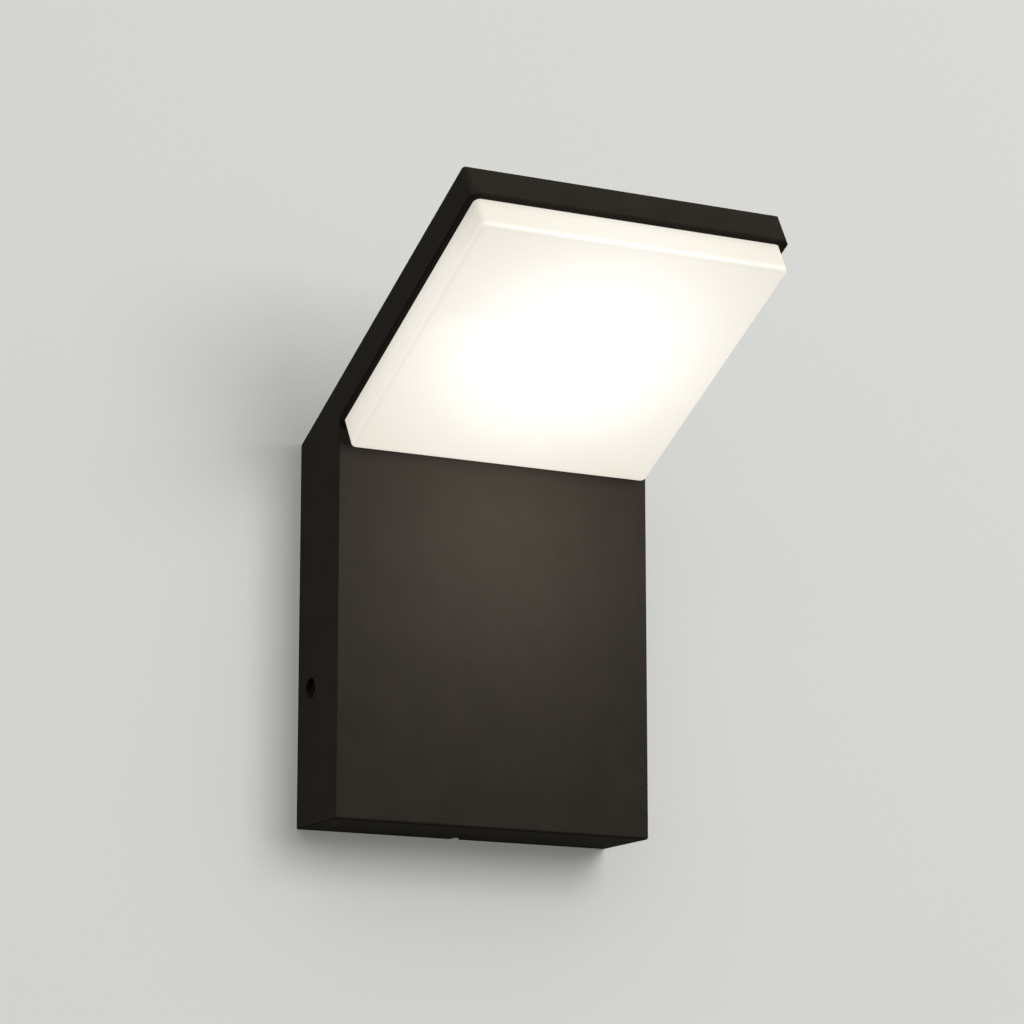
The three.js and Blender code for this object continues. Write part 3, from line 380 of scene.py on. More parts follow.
def combine(target, operation, shells):
    """Cuts shells out of the target ("DIFFERENCE") or joins them to it ("UNION"), in order. The
    slivers that a cut can leave are then dissolved."""
    tools = [solid("tool", shell) for shell in shells]
    for tool in tools:
        modifier = target.modifiers.new("boolean", "BOOLEAN")
        modifier.operation, modifier.solver, modifier.object = operation, "EXACT", tool
    ready = target.evaluated_get(bpy.context.evaluated_depsgraph_get())
    mesh = bpy.data.meshes.new_from_object(ready)
    made = bmesh.new()
    made.from_mesh(mesh)
    bmesh.ops.remove_doubles(made, verts=made.verts, dist=SLIVER)
    bmesh.ops.dissolve_degenerate(made, edges=made.edges, dist=SLIVER)
    made.to_mesh(mesh)
    made.free()
    target.modifiers.clear()
    target.data = mesh
    for tool in tools:
        bpy.data.objects.remove(tool)
    return target


def dress(obj, materials, node):
    """Shading, the materials, the body that the piece rides on and the CAD node it stands for."""
    mesh = obj.data
    mesh.materials.clear()
    for material in materials:
        mesh.materials.append(material)
    mesh.shade_smooth()
    mesh.set_sharp_from_angle(angle=CREASE)
    obj.modifiers.new("flat faces lead", "WEIGHTED_NORMAL").keep_sharp = True
    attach(obj, BODY_OF[node])
    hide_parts(node)
    print(f"{obj.name}: {len(mesh.polygons)} faces, rides on {BODY_OF[node]}")


def box_mm(node):
    """A CAD node's lowest and highest corners in millimetres."""
    return tuple(np.array(corner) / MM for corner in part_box(node))


def middle_mm(node):
    """The middle of a CAD node's box in millimetres."""
    return sum(box_mm(node)) / 2


# %% [markdown]
# ## Powder coat
# The casting is sprayed with dry polyester powder and baked. The grains melt into a film about
# 0.08 mm thick that keeps a fine, even grain, so it looks matt and very slightly sandy, never like
# brushed or bare metal. It is a paint, so metallic is 0 and the IOR is that of a resin. The grain
# breaks up its gloss, so the specular level is low. The grain is drawn a little coarser than life
# so that it shows.

# %% Powder coat material
GRAIN, MOTTLE = 0.45, 14  # mm
powder_coat, tree, place = start("matt polyester powder coat")
grain = add(tree, "TexNoise", {"Vector": place, "Scale": 1 / (GRAIN * MM), "Detail": 3.0,
                               "Roughness": 0.6})
mottle = add(tree, "TexNoise", {"Vector": place, "Scale": 1 / (MOTTLE * MM), "Detail": 2.0})
factor = add(tree, "MapRange", {"Value": mottle, "From Min": 0.35, "From Max": 0.65})
tone = add(tree, "Mix", {0: factor, 6: linear("#23201a"), 7: linear("#27231d")}, **MIX)
rough = add(tree, "MapRange", {"Value": grain, "From Min": 0.3, "From Max": 0.7,
                               "To Min": 0.90, "To Max": 1.0})
relief = add(tree, "Bump", {"Height": grain, "Distance": 0.05 * MM, "Strength": 0.35})
add(tree, "OutputMaterial", {"Surface": add(tree, "BsdfPrincipled", {
    "Base Color": tone, "Roughness": rough, "Normal": relief, "IOR": 1.45,
    "Specular IOR Level": 0.12})})
print("powder coat grain", GRAIN, "mm")

# %% [markdown]
# ## The casting
# Box and head are one die casting, with walls 2 mm thick and an open back. Its side view is
# one outline of six corners, so the quickest true shape is that outline carried across the width,
# drawn in at both side faces to round their rims. Cutters then round the far corners of the head
# and the edge of the bend, and take out the hollow, the stepped recess for the opal cover, the
# bores and the drain notch. The screw bosses and studs are joined to it.

# %% The head's own frame
BOX_DEPTH, BOX_HEIGHT = 30, 129
HEAD_LENGTH, HEAD_THICKNESS = 135, 12  # the length is along the back, from the kink
HEAD_LEAN = math.radians(61.75)  # forward of upright
WALL = 2
HEAD_SKIN = 3.5  # metal behind the light board
LEDGE_LEVEL, LEDGE_WIDTH = 9, 3
RECESS_OVERLAP = 2.66  # the recess starts this far before the head's front face does
BEYOND, PAST = 3, 1  # a cutter's long and short run past the face that it cuts
CLEAR = 20  # past everything in front of the head
EASE = 0.3  # the small chamfer or gap that nearly every part has

low, high = box_mm("housing")
HALF, FLOOR = high[0], low[2]
KINK = FLOOR + BOX_HEIGHT
INSIDE = HALF - WALL
SIN, COS = math.sin(HEAD_LEAN), math.cos(HEAD_LEAN)
RIM_START = (BOX_DEPTH - HEAD_THICKNESS * COS) / SIN
RECESS_START, RECESS_END = RIM_START - RECESS_OVERLAP, HEAD_LENGTH - WALL
POCKET_START, POCKET_END = RECESS_START + LEDGE_WIDTH, RECESS_END - LEDGE_WIDTH
WEB_START = RECESS_START - WALL


def head_corner(level, along):
    """A point of the head's side view, from its distance out of the back and along the head."""
    return -(along * SIN + level * COS), KINK + along * COS - level * SIN


def leaned(shell):
    """Carries a shell given as (x, level, along) of the head into the part's own frame."""
    points, faces = shell
    x, level, along = points.T
    y, z = head_corner(level, along)
    return np.column_stack([x, y, z]), faces


print("head's end, top:", [round(v, 1) for v in head_corner(0, HEAD_LENGTH)], "mm")

# %% Casting stock and hollow
TOP_CORNER, CORNER, EDGE, FILLET = 1.5, 1.0, 0.5, 1.0
BEND_INSIDE, WEB_FILLET = 0.4, 0.5
END_CORNER = 2.6  # seen square on to the head's back
KINK_RADIUS = 2.2
side_view = [(BEYOND, FLOOR), head_corner(0, -BEYOND / SIN), head_corner(0, HEAD_LENGTH),
             head_corner(HEAD_THICKNESS, HEAD_LENGTH), head_corner(HEAD_THICKNESS, RIM_START),
             (-BOX_DEPTH, FLOOR)]
side_radii = [0, 0, TOP_CORNER, CORNER, BEND_INSIDE, CORNER]
casting = solid("housing_casting", stack(side_view, side_radii, rims(-HALF, HALF, EDGE, 6),
                                         SIDEWAYS, steps=8))

hollow_view = [(BEYOND, FLOOR + WALL), head_corner(WALL, (-BEYOND - WALL * COS) / SIN),
               head_corner(WALL, WEB_START),
               head_corner((BOX_DEPTH - WALL - WEB_START * SIN) / COS, WEB_START),
               (WALL - BOX_DEPTH, FLOOR + WALL)]
hollow = stack(hollow_view, [0, 0, WEB_FILLET, FILLET, FILLET],
               rims(-INSIDE, INSIDE, FILLET, 4), SIDEWAYS)


def end_corner(side):
    """Cutter that rounds a far corner of the head: at angle t the arc is END_CORNER sin t across
    from its centre and END_CORNER cos t along."""
    t = np.linspace(0, np.pi / 2, 13)
    across = np.append(HALF - END_CORNER * (1 - np.sin(t)),
                       [HALF + BEYOND, HALF + BEYOND, HALF - END_CORNER])
    along = np.append(HEAD_LENGTH - END_CORNER * (1 - np.cos(t)),
                      [HEAD_LENGTH - END_CORNER, HEAD_LENGTH + BEYOND, HEAD_LENGTH + BEYOND])
    rows = [np.column_stack([side * across, np.full(len(t) + 3, level), along])
            for level in (-BEYOND, HEAD_THICKNESS + BEYOND)]
    return leaned(loft(rows))


def kink_edge():
    """Cutter that rounds the edge where the head's back leaves the wall: at angle t the arc is
    KINK_RADIUS cos t out of its centre and KINK_RADIUS sin t above it."""
    reach = KINK_RADIUS * math.tan(HEAD_LEAN / 2)
    t = np.linspace(0, HEAD_LEAN, 9)
    behind_y, behind_z = head_corner(-BEYOND, reach)
    y = np.append(KINK_RADIUS * (np.cos(t) - 1), [behind_y, 2 * BEYOND])
    z = np.append(KINK - reach + KINK_RADIUS * np.sin(t), [behind_z, KINK - reach])
    return loft([np.column_stack([np.full(len(y), x), y, z])
                 for x in (-HALF - BEYOND, HALF + BEYOND)])


behind_wall = block((-HALF - BEYOND, 0, FLOOR - BEYOND),
                    (HALF + BEYOND, 2 * BEYOND, KINK + BEYOND))
combine(casting, "DIFFERENCE", [behind_wall, hollow, end_corner(-1), end_corner(1), kink_edge()])
print("hollow casting:", len(casting.data.polygons), "faces")

# %% Bosses and studs
BORE, BOSS, BOSS_LENGTH = 3.4, 5.4, 5
STUD, STUD_HEIGHT = 3.5, 5
BOX_SCREWS = ["driver_screw_left", "driver_screw_right", "terminal_screw_left",
              "terminal_screw_right", "earth_screw"]
STUD_TOP = WALL - BOX_DEPTH + STUD_HEIGHT
side_screw = middle_mm("set_screw_right")[1:]
stud_places = [(middle_mm(node)[2], middle_mm(node)[0]) for node in BOX_SCREWS]
bosses = [turned([(BOSS, side * (INSIDE + PAST)), (BOSS, side * (INSIDE - BOSS_LENGTH + EASE)),
                  (BOSS - EASE, side * (INSIDE - BOSS_LENGTH))], side_screw, X)
          for side in (-1, 1)]
studs = [turned([(STUD, WALL / 2 - BOX_DEPTH), (STUD, STUD_TOP - EASE), (STUD - EASE, STUD_TOP)],
                place, Y) for place in stud_places]
combine(casting, "UNION", bosses + studs)
print("studs at (z, x) mm:", [tuple(round(float(v), 1) for v in place) for place in stud_places])

# %% Recess, bores and drain notch
COVER_CORNER, COVER_GAP, LIP_REACH = 2.0, 0.35, 0.28
MOUTH = 0.15  # rounding of the recess's mouth
POCKET_FILLET = 0.4
SCOOP_START, SCOOP_RADIUS, SCOOP_WIDTH = 23.4, 4.1, 12
SIDE_LIP = 0.15  # the metal that a scoop leaves at the side face
SCOOP_FLOOR = HEAD_THICKNESS + 0.02  # a hair off the rim, as a cut can't part faces that coincide
SCREW_HOLE, STUD_TAP, BOARD_TAP = 1.7, 4.55, 0.9  # radius, depth, and level in the head
SCREW_INSET = 6.5  # of the light board's screws, from the pocket's sides
BOARD_SCREW_X = INSIDE - LEDGE_WIDTH - SCREW_INSET
BOARD_SCREW_ALONG = [POCKET_START + SCREW_INSET, POCKET_END - SCREW_INSET]
PASSAGE, PASSAGE_LEVEL = 2.5, (HEAD_SKIN + LEDGE_LEVEL) / 2
NOTCH, NOTCH_DEPTH = 1.6, 4.6  # half its width, and how far it runs in from the wall


def well(inset, start, end, level, mouth):
    """Cutter for a pocket of the head. It widens by MOUTH at the level `mouth`, along a quarter
    circle, and runs on past everything in front."""
    inset += LIP_REACH
    corners = rectangle((inset - HALF, start), (HALF - inset, end - LIP_REACH))
    floor = rim(POCKET_FILLET, level, -1, 4)[::-1]
    lip = [(MOUTH * (math.cos(t) - 1), mouth - MOUTH * (1 - math.sin(t)))
           for t in np.linspace(0, np.pi / 2, 5)]
    profile = floor + lip + [(-MOUTH, mouth + CLEAR)]
    return leaned(stack(corners, COVER_CORNER + COVER_GAP - LIP_REACH, profile, FACING, steps=8))


def scoop(side):
    """Cutter that takes the metal beside a near corner of the cover down to the rim, along a round
    corner that follows the cover's own."""
    near, far = SIDE_LIP - HALF, SCOOP_WIDTH - HALF
    view = [(near, SCOOP_START), (SCOOP_RADIUS + PAST - HALF, SCOOP_START), (far, RECESS_START),
            (far, RIM_START + PAST), (near, RIM_START + PAST)]
    view = [(-side * x, along) for x, along in view]
    return leaned(stack(view[::-side], [SCOOP_RADIUS, 0, 0, 0, 0][::-side],
                        [(0, SCOOP_FLOOR), (0, HEAD_THICKNESS + CLEAR)], FACING))


drills = [turned([(BORE + EASE + BEYOND, side * (HALF + BEYOND)), (BORE, side * (HALF - EASE)),
                  (BORE, side * (INSIDE - BOSS_LENGTH - BEYOND))], side_screw, X, sides=64)
          for side in (-1, 1)]
drills += [bar(SCREW_HOLE, STUD_TOP - STUD_TAP, STUD_TOP + BEYOND, place, Y)
           for place in stud_places]
drills += [leaned(bar(SCREW_HOLE, BOARD_TAP, HEAD_SKIN + BEYOND, (along, side * BOARD_SCREW_X), Y))
           for along in BOARD_SCREW_ALONG for side in (-1, 1)]
passage = leaned(bar(PASSAGE, WEB_START - WALL, POCKET_START + WALL, (0, PASSAGE_LEVEL), Z, 32))
notch = stack(rectangle((-NOTCH, -NOTCH_DEPTH), (NOTCH, BEYOND)),
              [NOTCH - HAIR, NOTCH - HAIR, 0, 0],
              [(0, FLOOR - BEYOND), (0, FLOOR + WALL + BEYOND)], steps=10)
wells = [well(WALL, RECESS_START, RECESS_END, LEDGE_LEVEL, HEAD_THICKNESS), scoop(-1), scoop(1),
         well(WALL + LEDGE_WIDTH, POCKET_START, POCKET_END, HEAD_SKIN, LEDGE_LEVEL)]
combine(casting, "DIFFERENCE", [*wells, passage, notch, *drills])
dress(casting, [powder_coat], "housing")

# %% [markdown]
# ## Opal cover
# The cover is one moulding of opal polycarbonate, 2.2 mm thick and open at the back. Light from
# the LEDs scatters inside it, so the broad front glows brightest and whitest in its middle, and
# the side walls glow less. Light through a real volume would be slow and grainy, so the glow is
# worked out from where a point lies on the cover: it falls off smoothly from the middle. Painted
# shade dims it a little along the rounded front edge and on the side wall at the far end.

# %% Opal material
COVER_MIDDLE = (RECESS_START + RECESS_END) / 2
COVER_HALF_LENGTH = (RECESS_END - RECESS_START) / 2 - COVER_GAP
COVER_HALF_WIDTH = INSIDE - COVER_GAP
COVER_STANDS_OUT = 10.7  # of the head's rim
COVER_FRONT = HEAD_THICKNESS + COVER_STANDS_OUT
GLOW_MIDDLE, GLOW_HALF = 0.004, 0.056  # m, towards the far end, and the glow's half width
GLOW_FALL = 1.1  # at the half width the heat is e to the power of minus this


def head_axes(tree, place, level):
    """X across the head, Y out of its back and Z along it, in metres from the middle of the
    recess at this level."""
    y, z = head_corner(level, COVER_MIDDLE)
    centred = add(tree, "Mapping", {"Vector": place, "Location": (0, -y * MM, -z * MM)})
    upright = add(tree, "Mapping", {"Vector": centred, "Rotation": (-HEAD_LEAN, 0, 0)})
    return add(tree, "SeparateXYZ", {0: upright}).outputs


opal, tree, place = start("moulded opal polycarbonate")
head_place = head_axes(tree, place, COVER_FRONT)
far_x = add(tree, "Math", {0: head_place["X"]}, operation="ABSOLUTE")
far_z = add(tree, "Math", {0: head_place["Z"]}, operation="ABSOLUTE")
depth = add(tree, "Math", {0: head_place["Y"]}, operation="ABSOLUTE")
from_side = add(tree, "Math", {0: COVER_HALF_WIDTH * MM, 1: far_x}, operation="SUBTRACT")
from_end = add(tree, "Math", {0: COVER_HALF_LENGTH * MM, 1: far_z}, operation="SUBTRACT")
from_rim = add(tree, "Math", {0: from_side, 1: from_end}, operation="MINIMUM")
from_edge = add(tree, "Math", {0: from_rim, 1: depth}, operation="MAXIMUM")

# The pull is the square of the distance from the glow's middle, in units of its half width.
pull_x = add(tree, "Math", {0: head_place["X"], 1: 1 / GLOW_HALF}, operation="MULTIPLY")
pull_z = add(tree, "Math", {0: head_place["Z"], 1: 1 / GLOW_HALF, 2: -GLOW_MIDDLE / GLOW_HALF},
             operation="MULTIPLY_ADD")
pull = add(tree, "CombineXYZ", {0: pull_x, 1: pull_z})
pull = add(tree, "VectorMath", {0: pull, 1: pull}, operation="DOT_PRODUCT").outputs["Value"]
heat = add(tree, "Math", {0: math.exp(-GLOW_FALL), 1: pull}, operation="POWER")
front_level = add(tree, "Math", {0: heat, 1: 0.40, 2: 0.72}, operation="MULTIPLY_ADD")
side_level = add(tree, "Math", {0: heat, 1: 0.28, 2: 0.63}, operation="MULTIPLY_ADD")
# painted shade: the side wall at the far end glows less, as though it lay in shade
far_end_shade = add(tree, "MapRange", {"Value": head_place["Z"], "From Min": 0.030, "From Max": 0.0535,
                                 "To Max": 0.08}, interpolation_type="SMOOTHSTEP")
side_level = add(tree, "Math", {0: side_level, 1: far_end_shade}, operation="SUBTRACT")
on_side = add(tree, "MapRange", {"Value": depth, "From Min": 0.6 * MM, "From Max": 2.2 * MM})
level = add(tree, "Mix", {0: on_side, 2: front_level, 3: side_level}, data_type="FLOAT")
# painted shade: the glow dims in a band along the rounded front edge, as shading would darken it
edge_shade = add(tree, "MapRange", {"Value": from_edge, "From Min": 0.4 * MM, "From Max": 2.8 * MM,
                                "To Min": 0.95, "To Max": 1.0}, interpolation_type="SMOOTHSTEP")
level = add(tree, "Math", {0: level, 1: edge_shade}, operation="MULTIPLY")
warmth = add(tree, "Mix", {0: heat, 6: linear("#fdf6e9"), 7: linear("#fffefa")}, **MIX)
grain = add(tree, "TexNoise", {"Vector": place, "Scale": 1 / (0.5 * MM)})
relief = add(tree, "Bump", {"Height": grain, "Distance": 0.02 * MM, "Strength": 0.15})
add(tree, "OutputMaterial", {"Surface": add(tree, "BsdfPrincipled", {
    "Base Color": linear("#8f8a80"), "Roughness": 0.35, "IOR": 1.58, "Normal": relief,
    "Emission Color": warmth, "Emission Strength": level})})
print("cover", round(2 * COVER_HALF_WIDTH, 1), "x", round(2 * COVER_HALF_LENGTH, 1), "mm")

# %% Opal cover
COVER_BACK, COVER_WALL, COVER_EDGE, INNER_EDGE, DRAFT = 10.6, 2.2, 1.3, 1.0, 0.15
inner = [(inset + COVER_WALL, along)
         for inset, along in rim(INNER_EDGE, COVER_FRONT - COVER_WALL, 1)]
outer = [(inset + DRAFT, along) for inset, along in rim(COVER_EDGE, COVER_FRONT, 1, 8)]
profile = [*inner[::-1], (COVER_WALL, COVER_BACK + EASE), (COVER_WALL - EASE, COVER_BACK),
           (EASE, COVER_BACK), (0, COVER_BACK + EASE), *outer]
cover_corners = rectangle((-COVER_HALF_WIDTH, COVER_MIDDLE - COVER_HALF_LENGTH),
                          (COVER_HALF_WIDTH, COVER_MIDDLE + COVER_HALF_LENGTH))
cover = leaned(stack(cover_corners, COVER_CORNER, profile, FACING, steps=10))
dress(solid("opal_cover", cover), [opal], "diffuser")

# %% [markdown]
# ## Cloudy finishes
# On many surfaces tone and gloss drift together: the bloom on rubber, the flow in a moulding, the
# clouds in a plating. One function makes all of them, so that each recipe below shows only what is
# its own: the size of the clouds, the two colours and the gloss.

# %% Cloudy finishes
def cloudy(name, size, colours, gloss, detail=3.0, **shader):
    """Tone goes from the first colour to the second over clouds of `size` mm. gloss is the
    roughness, or the two that it goes between with them. shader is what else the surface has."""
    material, tree, place = start(name)
    cloud = add(tree, "TexNoise", {"Vector": place, "Scale": 1 / (size * MM), "Detail": detail})
    tone = add(tree, "Mix", {0: cloud, 6: linear(colours[0]), 7: linear(colours[1])}, **MIX)
    if not np.isscalar(gloss):
        gloss = add(tree, "MapRange", {"Value": cloud, "From Min": 0.3, "From Max": 0.7,
                                       "To Min": gloss[0], "To Max": gloss[1]})
    add(tree, "OutputMaterial", {"Surface": add(tree, "BsdfPrincipled", {
        "Base Color": tone, "Roughness": gloss, **shader})})
    return material

# %% [markdown]
# ## Gasket
# Between cover and casting lies a moulded silicone gasket, a flat strip with a bead along its
# middle that is squeezed when the cover goes in. Silicone is a soft, milky rubber: dull, a little
# greasy, and it lets some light in, so a touch of subsurface is right and a sharp gloss isn't.
# Its section is one closed outline, carried round the cover's rim.

# %% Silicone gasket
silicone = cloudy("moulded silicone rubber", 6, ("#bdbbb5", "#d2d0cb"), (0.48, 0.62), IOR=1.41,
                  **{"Subsurface Weight": 0.15, "Subsurface Scale": 0.6 * MM})

SEAL_BACK, SEAL_WIDTH = 9.3, 2.2
STRIP, BEAD = 0.5, 1.0  # heights of the flat strip and of the bead on it
STRIP_ROUND, BEAD_ROUND = 0.1, 0.25
section = outline([(0, 0), (SEAL_WIDTH, 0), (SEAL_WIDTH, STRIP), (1.65, STRIP), (1.4, BEAD),
                   (0.8, BEAD), (0.55, STRIP), (0, STRIP)],
                  [STRIP_ROUND] * 4 + [BEAD_ROUND] * 2 + [STRIP_ROUND] * 2, steps=3)
profile = [(inset, SEAL_BACK + height) for inset, height in section]
gasket = leaned(stack(cover_corners, COVER_CORNER, profile, FACING, ring=True, steps=8))
dress(solid("cover_gasket", gasket), [silicone], "diffuser_seal")

# %% [markdown]
# ## Light board
# The LEDs sit on an aluminium-cored board, which is a plain stamped sheet with four holes, so its
# CAD shape stays. What makes it a light board is its finish: a bright white solder mask on the
# front only, with the faint outlines of the copper under it, and bare milled metal at its edges.
# The mask is told from the metal by how far out of the head's back a point lies.

# %% White solder mask on aluminium
BOARD_FRONT = 5.4
LED_PITCH = (17, 19)  # across and along
MASK = 0.12  # taken as thicker than life, so that the whole front is masked
HALF_PITCH, HALF_COPPER, STEP = LED_PITCH[1] / 2 * MM, 6 * MM, 0.1 * MM

white_mask, tree, place = start("white solder mask on aluminium")
head_place = head_axes(tree, place, BOARD_FRONT)
depth = add(tree, "Math", {0: head_place["Y"]}, operation="ABSOLUTE")
masked = add(tree, "Math", {0: depth, 1: MASK * MM}, operation="LESS_THAN")
# copper runs 12 mm wide along each row of LEDs, with a gap of 7 mm between the rows
across_rows = add(tree, "Math", {0: head_place["Z"], 1: HALF_PITCH, 2: -HALF_PITCH},
                  operation="WRAP")
from_row = add(tree, "Math", {0: across_rows}, operation="ABSOLUTE")
copper = add(tree, "MapRange", {"Value": from_row, "From Min": HALF_COPPER - STEP,
                                "From Max": HALF_COPPER + STEP, "To Min": 1.0, "To Max": 0.0})
mask = add(tree, "Mix", {0: copper, 6: linear("#e9e8e2"), 7: linear("#f1efe8")}, **MIX)
milling = add(tree, "TexNoise", {"Vector": place, "Scale": 1 / (0.8 * MM), "Detail": 2.0})
metal = add(tree, "Mix", {0: milling, 6: linear("#a9acae"), 7: linear("#c6c8c9")}, **MIX)
tone = add(tree, "Mix", {0: masked, 6: metal, 7: mask}, **MIX)
bare = add(tree, "Math", {0: 1.0, 1: masked}, operation="SUBTRACT")
relief = add(tree, "Bump", {"Height": copper, "Distance": 0.035 * MM, "Strength": 0.6})
add(tree, "OutputMaterial", {"Surface": add(tree, "BsdfPrincipled", {
    "Base Color": tone, "Metallic": bare, "Roughness": 0.38, "Normal": relief})})
frame["nodes"]["light_board"].material_slots[0].material = white_mask
print("light board wears", white_mask.name)

# %% [markdown]
# ## LEDs
# Each LED is a white package of moulded plastic with a shallow bowl, filled to the brim with clear
# silicone that holds yellow phosphor. The package is one turned section with square corners, so an
# outline carried through it makes frame and bowl together, and the filling is a second shell.

# %% LED materials
package_white, tree, place = start("moulded white polyphthalamide")
grain = add(tree, "TexNoise", {"Vector": place, "Scale": 1 / (0.2 * MM)})
relief = add(tree, "Bump", {"Height": grain, "Distance": 0.01 * MM, "Strength": 0.3})
add(tree, "OutputMaterial", {"Surface": add(tree, "BsdfPrincipled", {
    "Base Color": linear("#f0eee8"), "Roughness": 0.5, "IOR": 1.6, "Normal": relief})})

phosphor, tree, place = start("phosphor in clear silicone")
speck = add(tree, "TexVoronoi", {"Vector": place, "Scale": 1 / (0.12 * MM)})
tone = add(tree, "Mix", {0: speck, 6: linear("#e8bf3a"), 7: linear("#f2d368")}, **MIX)
add(tree, "OutputMaterial", {"Surface": add(tree, "BsdfPrincipled", {
    "Base Color": tone, "Roughness": 0.22, "IOR": 1.41})})

# %% LED packages
LED_ROWS, LEDS_IN_ROW = 3, 4
LED_WIDTH, LED_LENGTH, LED_CORNER = 3.5, 2.8, 0.2
LED_BACK, LED_FRONT = 5.7, 6.4
BOWL_TOP, BOWL_FLOOR = 0.32, 0.6  # how far in from the package's side
BOARD_MIDDLE = (POCKET_START + POCKET_END) / 2

package_profile = [(0.02, LED_BACK), (0, LED_BACK + 0.02), (0, LED_FRONT - 0.04),
                   (0.04, LED_FRONT), (BOWL_TOP, LED_FRONT), (BOWL_TOP + 0.03, LED_FRONT - 0.03),
                   (BOWL_FLOOR, LED_BACK + 0.2)]
filling_profile = [(BOWL_FLOOR - 0.02, LED_BACK + 0.21), (BOWL_TOP + 0.05, LED_FRONT - 0.06),
                   (BOWL_FLOOR, LED_FRONT - 0.03), (1.0, LED_FRONT - 0.02)]
for number in range(LED_ROWS * LEDS_IN_ROW):
    row, place_in_row = divmod(number, LEDS_IN_ROW)
    x = (place_in_row - (LEDS_IN_ROW - 1) / 2) * LED_PITCH[0]
    along = BOARD_MIDDLE + (row - (LED_ROWS - 1) / 2) * LED_PITCH[1]
    corners = rectangle((x - LED_WIDTH / 2, along - LED_LENGTH / 2),
                        (x + LED_WIDTH / 2, along + LED_LENGTH / 2))
    package, filling = (leaned(stack(corners, LED_CORNER, profile, FACING, steps=3))
                        for profile in (package_profile, filling_profile))
    led = solid(f"led_package_{number + 1}", package, filling)
    dress(led, [package_white, phosphor], f"led_{number + 1}")

# %% [markdown]
# ## Zinc-plated steel
# Screws and the mounting plate are steel with a few thousandths of a millimetre of zinc, dipped
# in a clear passivate. It looks like a cool, bright, slightly cloudy grey metal. Metallic is 1
# with the default IOR, the colour carries the cloudiness, and the roughness keeps it from being a
# mirror. The sheet still shows the fine streaks of the rolling mill under its zinc, and the screws
# don't.

# %% Zinc materials
rolled_zinc, tree, place = start("zinc-plated rolled steel sheet")
cloud = add(tree, "TexNoise", {"Vector": place, "Scale": 1 / (11 * MM), "Detail": 4.0})
stretched = add(tree, "Mapping", {"Vector": place, "Scale": (1, 1, 0.04)})
streak = add(tree, "TexNoise", {"Vector": stretched, "Scale": 1 / (0.6 * MM), "Detail": 2.0})
clouding = add(tree, "MapRange", {"Value": cloud, "From Min": 0.3, "From Max": 0.7})
tone = add(tree, "Mix", {0: clouding, 6: linear("#b4b8bd"), 7: linear("#c9cccf")}, **MIX)
rough = add(tree, "MapRange", {"Value": streak, "From Min": 0.3, "From Max": 0.7,
                               "To Min": 0.30, "To Max": 0.46})
relief = add(tree, "Bump", {"Height": streak, "Distance": 0.01 * MM, "Strength": 0.4})
add(tree, "OutputMaterial", {"Surface": add(tree, "BsdfPrincipled", {
    "Base Color": tone, "Metallic": 1.0, "Roughness": rough, "Normal": relief})})

screw_zinc = cloudy("zinc-plated cold-formed steel", 1.5, ("#aeb3ba", "#cfd2d3"), (0.26, 0.4),
                    Metallic=1.0)

# %% [markdown]
# ## Nickel-plated brass
# The clamp screws and everything on the earth point carry current or protect from it, so they are
# brass with nickel on it, which doesn't rust. It is a warmer and smoother metal than zinc.

# %% Nickel material
nickel = cloudy("nickel-plated brass", 2, ("#c0bcb0", "#d3cfc4"), (0.22, 0.34), Metallic=1.0)

# %% [markdown]
# ## Pan-head screws
# A machine screw is lathe work, apart from its thread. The thread is part of the same surface: the
# radius dips as the height and the turn go on together, which is what a helix is. The cross recess
# is cut with one tapered plus-shaped tool, as the real one is punched.

# %% Pan-head screws
THREAD, THREAD_PITCH, THREAD_DEPTH, CORE = 1.5, 0.8, 0.3, 0.7  # the last is the point's radius
HEAD_RADIUS, HEAD_HEIGHT, HEAD_EDGE, HEAD_ROUND, HEAD_TOP = 2.8, 2.0, 0.15, 1.1, 0.5
CROSS_ARM, CROSS_HALF, CROSS_DEPTH, CROSS_TAPER = 1.5, 0.36, 1.1, 0.24
SCREW_SIDES, RINGS_PER_MM = 32, 12
EAR_SEAT, BLOCK_SEAT, LUG_SEAT = 1.6, 13, 0.8  # the screws' seats, above the studs
BOARD_SEAT = BOARD_FRONT + EASE


def thread(height, pitch, sides, hand=1):
    """How deep a thread is at each height and turn, from 0 to 1: |2 f - 1|, where f is the
    fraction of height / pitch - turn. Hand -1 turns the helix the other way round."""
    turn = np.linspace(0, 1, sides, endpoint=False)
    return np.abs(2 * ((height[:, None] / pitch - hand * turn) % 1) - 1)


